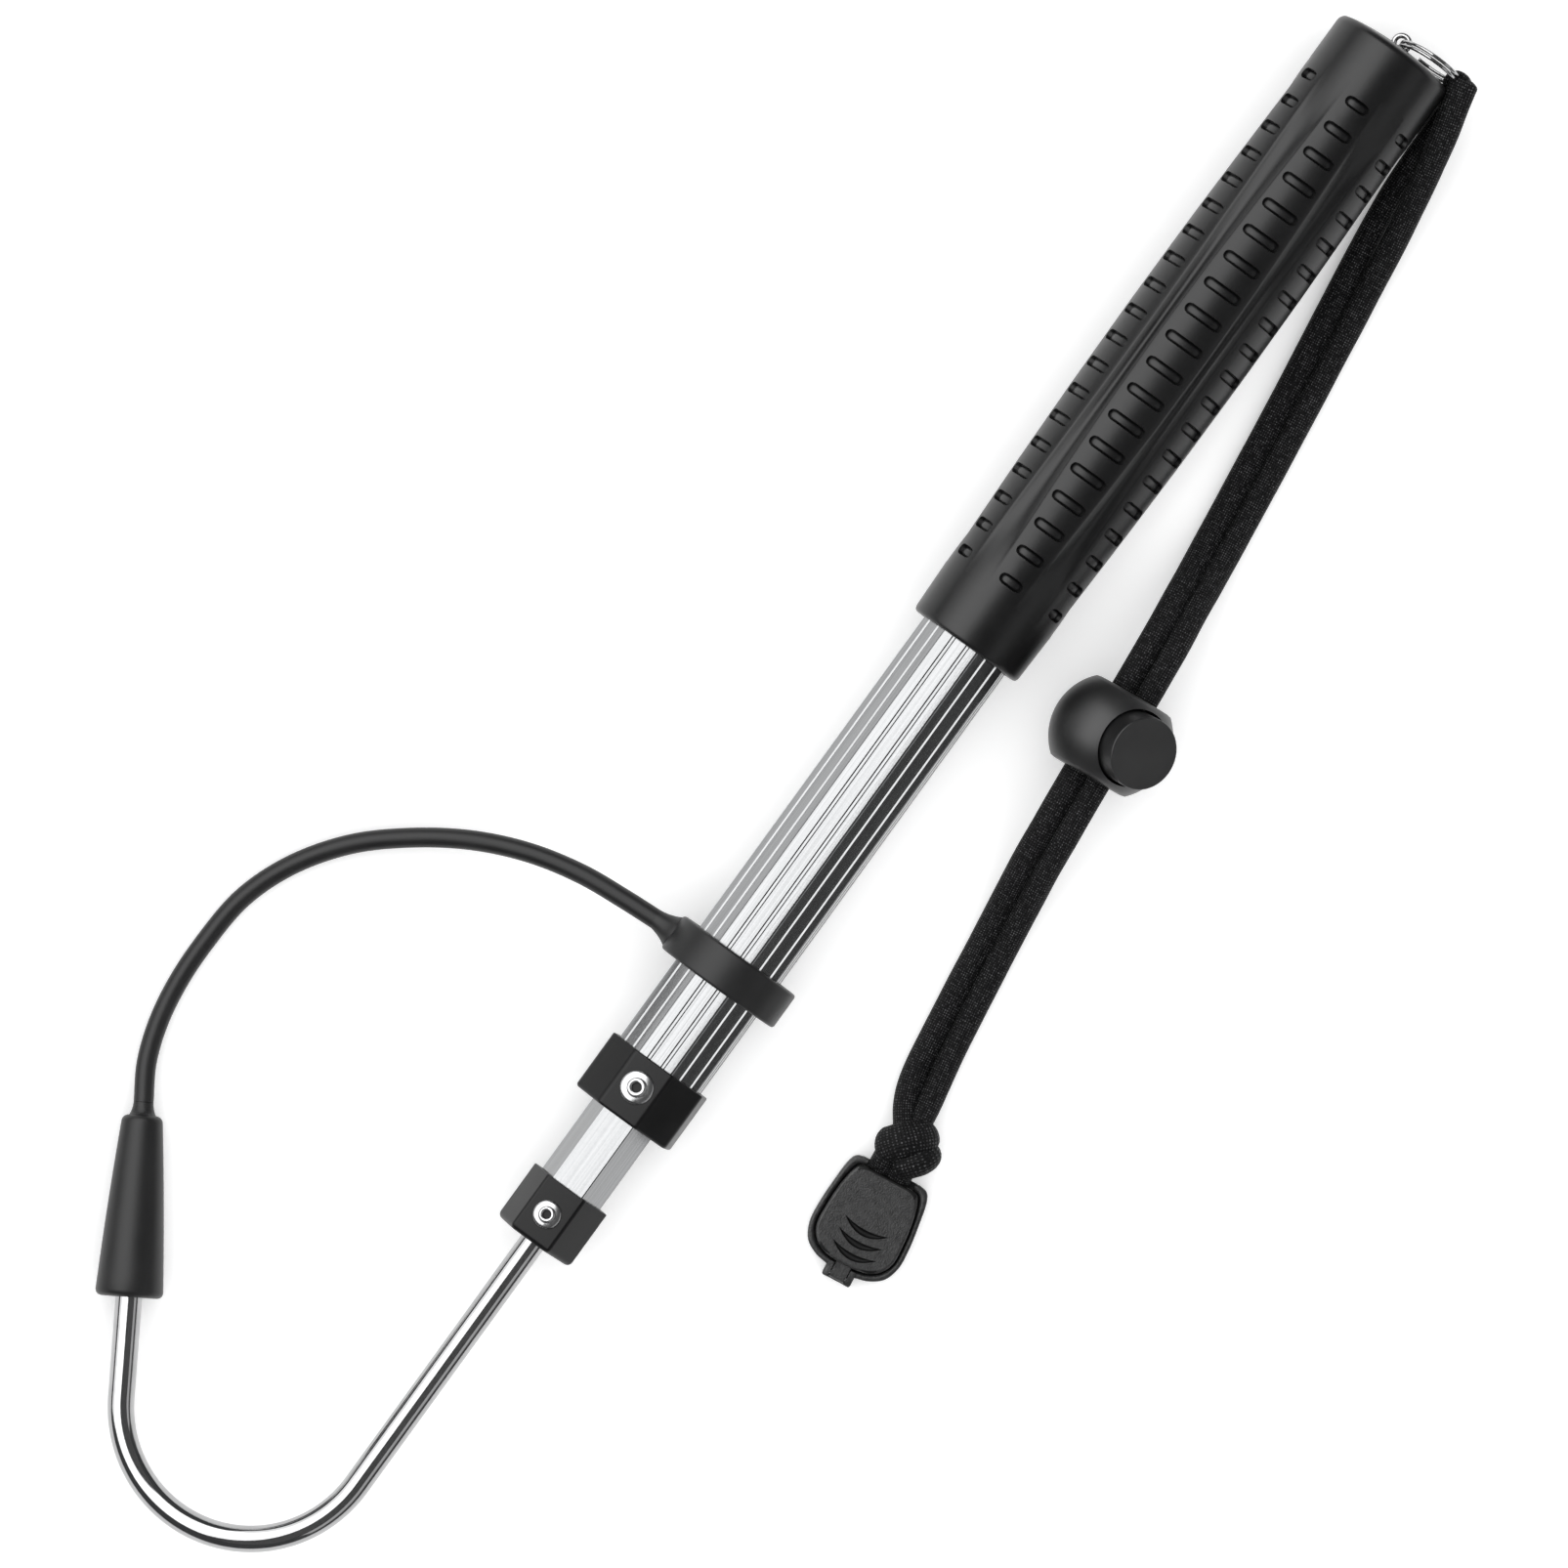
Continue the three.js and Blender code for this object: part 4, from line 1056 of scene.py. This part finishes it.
button_profile = [(0.05, BUTTON_BOTTOM), (BUTTON_RADIUS - 0.3, BUTTON_BOTTOM),
                  (BUTTON_RADIUS, BUTTON_BOTTOM + 0.3)]
for inset, along in quarter_round(5):
    button_profile.append((BUTTON_RADIUS - BUTTON_ROUND * inset, BUTTON_TOP - BUTTON_ROUND * along))
button_profile += [(BUTTON_RADIUS - 1.2, BUTTON_TOP), (0.05, BUTTON_TOP)]
button = turned("lock_button_moulded", button_profile, 96, button_frame, closed=False)
window_half_width = STRAND_HALF_GAP * math.cos(BUTTON_TILT) + CORD / 2 + SLOT_PLAY
window_reach = STRAND_HALF_GAP * math.sin(BUTTON_TILT) + CORD / 2
window_low = -window_reach - 0.4
window_high = window_reach + BUTTON_TRAVEL + 0.6
window = skin("button_window", [
    [Vector((x, a, b)) for a, b in (
        (-window_half_width, window_low), (window_half_width, window_low),
        (window_half_width, window_high), (-window_half_width, window_high))]
    for x in (-20, 20)
], button_frame)
carve(button, window)
fit(crisp(button, 40), lock_acetal, "button", ["lock_button"])

# ---- cord-end clip ----
# Two nylon mouldings that snap shut on the cord's tails: a tray with a raised rim and a lid with
# three crescent thumb grooves, hinged on a steel pin in the tray's tab.
CLIP_CENTRE = (355, 73.3, 0)
CLIP_YAW = math.radians(8)
TRAY_HEIGHT = 6.0
TRAY_FLOOR = 1.5
TRAY_RIM = 1.7
LID_INSET = 2.1
LID_LOW = 5.2
LID_HIGH = 8.0
GROOVE_DEPTH = 0.8
GROOVE_PITCH = 3.8
CLIP_DARK = (0.006, 0.006, 0.0062)
CLIP_LIGHT = (0.020, 0.020, 0.0203)
# painted shade: the darker colours given to the lid's thumb grooves
GROOVE_SHADE_DARK = (0.002, 0.002, 0.002)
GROOVE_SHADE_PALE = (0.004, 0.004, 0.004)
clip_frame = floor_frame @ Matrix.Translation(CLIP_CENTRE) @ Matrix.Rotation(CLIP_YAW, 4, "Z")
clip_side = [
    (-17.7, 9), (-17.0, 11.2), (-15, 12.4), (-8, 13.6), (0, 14.4), (6, 14.2), (10.5, 12.2),
    (13, 8.4), (14, 4.5),
]


def clip_outline(inset):
    """The clip's outline drawn in by inset, a little less at the tab's end."""
    side = []
    for u, v in clip_side:
        u_in = u + inset if u < -10 else u - inset * max(0, (u - 4) / 10)
        side.append(Vector((u_in, v - inset * (0.7 if u > 12 else 1), 0)))
    smooth = bent_through(side, 5)
    return smooth + [Vector((p.x, -p.y, 0)) for p in reversed(smooth)]


def plate_ring(inset, z):
    """The clip's outline as a ring at height z."""
    return [Vector((p.x, p.y, z)) for p in clip_outline(inset)]


tray = skin("clip_tray_moulded", [
    plate_ring(0.7, 0.0), plate_ring(0.25, 0.15), plate_ring(0.05, 0.5), plate_ring(0, 1.0),
    plate_ring(0, TRAY_HEIGHT - 0.8), plate_ring(0.12, TRAY_HEIGHT - 0.3),
    plate_ring(0.45, TRAY_HEIGHT - 0.05), plate_ring(0.85, TRAY_HEIGHT),
    plate_ring(TRAY_RIM - 0.45, TRAY_HEIGHT - 0.05), plate_ring(TRAY_RIM - 0.1, TRAY_HEIGHT - 0.35),
    plate_ring(TRAY_RIM, TRAY_HEIGHT - 0.8), plate_ring(TRAY_RIM, TRAY_FLOOR),
], clip_frame)


def block(name, u, v, z):
    """A box in the clip's own directions, for cutting."""
    corners = ((v[0], z[0]), (v[1], z[0]), (v[1], z[1]), (v[0], z[1]))
    return skin(name, [[Vector((x, y, h)) for y, h in corners] for x in u], clip_frame)


tab = skin("clip_tab", [
    [Vector((u, -w, 0.1)), Vector((u, w, 0.1)), Vector((u, w, h - 0.5)), Vector((u, w - 0.5, h)),
     Vector((u, -w + 0.5, h)), Vector((u, -w, h - 0.5))]
    for u, w, h in ((12.6, 4.4, 6.6), (16.4, 4.4, 6.6), (17.0, 4.25, 6.2), (17.2, 4.1, 5.6))
], clip_frame)
weld(tray, tab)
carve(tray,
      block("clip_mouth", (-21, -13), (-7.5, 7.5), (TRAY_FLOOR, 9.5)),
      block("knuckle_room", (11, 18), (-2.6, 2.6), (3.2, 9)))
clip_nylon = moulded("clip_nylon", CLIP_DARK, CLIP_LIGHT, rough=0.4, grain=0.5, depth=0.14, specular=0.5,
                     mottling=700)
fit(even_shading(crisp(tray, 38)), clip_nylon, "lanyard", ["clip_tray"])

lid = skin("clip_lid_moulded", [
    plate_ring(LID_INSET + 0.15, LID_LOW), plate_ring(LID_INSET, LID_LOW + 0.15),
    plate_ring(LID_INSET, LID_HIGH - 0.75), plate_ring(LID_INSET + 0.12, LID_HIGH - 0.3),
    plate_ring(LID_INSET + 0.4, LID_HIGH - 0.08), plate_ring(LID_INSET + 0.8, LID_HIGH),
], clip_frame)
knuckle = skin("lid_knuckle", [
    [Vector((u, -2.3, low)), Vector((u, 2.3, low)), Vector((u, 2.3, high)), Vector((u, -2.3, high))]
    for u, low, high in ((10.5, 4.2, 6.4), (15.6, 4.0, 6.4), (16.5, 4.4, 6.1), (16.8, 4.9, 5.6))
], clip_frame)
weld(lid, knuckle)


def crescent(name, shift):
    """A thumb groove: a scooped crescent that bows towards the hinge."""
    rings = []
    for z, share in ((LID_HIGH - GROOVE_DEPTH, 0.12), (LID_HIGH - 0.6, 0.55), (LID_HIGH - 0.3, 0.82),
                     (LID_HIGH + 0.01, 1), (LID_HIGH + 1, 1)):
        edge = []
        for sign in (1, -1):
            for k in range(16):
                t = sign * (-1 + 2 * (k + 0.02) / 16)
                u = 1.4 - 2.2 * t * t + sign * 0.98 * share * (1 - t * t)
                edge.append(Vector((u + shift, 0.7 - 7.0 * t * (0.9 + 0.1 * share), z)))
        rings.append(edge)
    return skin(name, rings, clip_frame)


carve(lid, *[crescent(f"thumb_groove_{k}", GROOVE_PITCH * k) for k in range(3)])
fit(even_shading(crisp(lid, 38)), clip_nylon, "lid", ["clip_lid"])
# painted shade: the faces sunk into the thumb grooves get a darker nylon, so that the recesses look shaded
groove_painted_shade = moulded("groove_painted_shade", GROOVE_SHADE_DARK, GROOVE_SHADE_PALE, rough=0.5, grain=0.4, depth=0.02,
                       specular=0.2)
lid.data.materials.append(groove_painted_shade)
for face in lid.data.polygons:
    middle = clip_frame.inverted() @ face.center
    sunk = 0.01 < LID_HIGH - middle.z < GROOVE_DEPTH + 0.1
    face.material_index = int(sunk and abs(middle.y) < 9 and middle.x < 11)

# ---- hidden pieces ----
# The plugs, the bush and its friction ring, the nut, the lock's spring and the clip's pin keep the
# shapes of the functional model and take the finishes of the pieces round them.
hidden = {
    "butt_plug": collar_nylon, "rear_bush": collar_nylon, "hook_plug": collar_nylon,
    "friction_ring": grip_rubber, "hook_nut": ring_steel, "lock_spring": ring_steel,
    "clip_pin": ring_steel,
}
for name, material in hidden.items():
    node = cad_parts[name]
    node.data.materials.clear()
    node.data.materials.append(material)

# ---- floor and light ----
# A white table, lit by a ceiling as wide as the room and glowing a little, more so far away. Soft
# boxes over the guard's side give the highlights, and black cards over the other the dark lines.
FLOOR_SIZE = 60.0
FLOOR_DROP = 0.0001
GLOW_NEAR = (1.2, 0.3)
GLOW_FAR = (4.0, 1.0)
CEILING_SIZE = 6.0
CEILING_HEIGHT = 2.2
BOX_DISTANCE = 1.6
BOX_LONG = 2.6
WORLD_COLOUR = (0.8, 0.82, 0.84, 1)
WORLD_STRENGTH = 0.12


def card(name, place, long, wide, material):
    """A flat card, part of the studio."""
    corners = ((-1, -1), (1, -1), (1, 1), (-1, 1))
    points = [place @ Vector((x * long / 2, y * wide / 2, 0)) for x, y in corners]
    mesh = bpy.data.meshes.new(name)
    mesh.from_pydata(points, [], [(0, 1, 2, 3)])
    mesh.materials.append(material)
    piece = bpy.data.objects.new(name, mesh)
    bpy.context.scene.collection.objects.link(piece)
    return piece


table_white, nodes, shader, links = finish_named("table_white")
shader.inputs["Base Color"].default_value = (0.9, 0.9, 0.9, 1)
shader.inputs["Roughness"].default_value = 0.9
shader.inputs["Specular IOR Level"].default_value = 0.1
shader.inputs["Emission Color"].default_value = (1, 1, 1, 1)
away = nodes.new("ShaderNodeVectorMath")
away.operation = "LENGTH"
links.new(nodes.new("ShaderNodeNewGeometry").outputs["Position"], away.inputs[0])
glow = nodes.new("ShaderNodeMapRange")
for socket, value in zip(("From Min", "To Min", "From Max", "To Max"), GLOW_NEAR + GLOW_FAR):
    glow.inputs[socket].default_value = value
links.new(away.outputs["Value"], glow.inputs["Value"])
links.new(glow.outputs["Result"], shader.inputs["Emission Strength"])
table_top = Matrix.Translation((0, 0, cad_low.z - FLOOR_DROP))
card("studio_floor", table_top, FLOOR_SIZE, FLOOR_SIZE, table_white)

world = bpy.data.worlds.new("studio")
world.use_nodes = True
bpy.context.scene.world = world
background = world.node_tree.nodes["Background"]
background.inputs["Color"].default_value = WORLD_COLOUR
background.inputs["Strength"].default_value = WORLD_STRENGTH


def area_light(name, towards, distance, wide, long, power):
    """A wide light that shines on the middle of the gaff from a direction."""
    light = bpy.data.objects.new(name, bpy.data.lights.new(name, "AREA"))
    bpy.context.scene.collection.objects.link(light)
    light.data.shape = "RECTANGLE"
    light.data.size = long
    light.data.size_y = wide
    light.data.energy = power
    way = Vector(towards).normalized()
    light.matrix_world = Matrix.Translation(way * distance) @ facing(way)
    light.visible_camera = False
    return light


def soft_box(name, towards, wide, power):
    """A soft box that only the gloss of the pieces shows."""
    area_light(name, towards, BOX_DISTANCE, wide, BOX_LONG, power).visible_diffuse = False


soft_box("main_soft_box", (0.0, -0.47, 0.88), wide=1.35, power=36)
soft_box("low_soft_box", (0.0, -0.88, 0.48), wide=0.60, power=9)
soft_box("far_soft_box", (0.0, 0.83, 0.56), wide=0.62, power=3.4)
ceiling = area_light("ceiling", (0.0, 0.0, 1.0), CEILING_HEIGHT, CEILING_SIZE, CEILING_SIZE, power=170)
ceiling.visible_glossy = False

flag_black, nodes, shader, links = finish_named("black_flag")
shader.inputs["Base Color"].default_value = (0.1, 0.1, 0.1, 1)
shader.inputs["Roughness"].default_value = 1


def black_flag(name, at, long, high):
    """A black card that darkens only what the metal and plastic mirror on the lanyard's side."""
    flag = card(name, Matrix.Translation(at) @ facing(Vector(at).normalized()), long, high, flag_black)
    flag.visible_camera = False
    flag.visible_diffuse = False
    flag.visible_shadow = False


black_flag("upper_flag", (0, 0.40, 1.05), long=2.6, high=0.76)
black_flag("lower_flag", (0, 1.20, 0.26), long=3.0, high=0.36)
bpy.context.scene.view_settings.view_transform = "Standard"
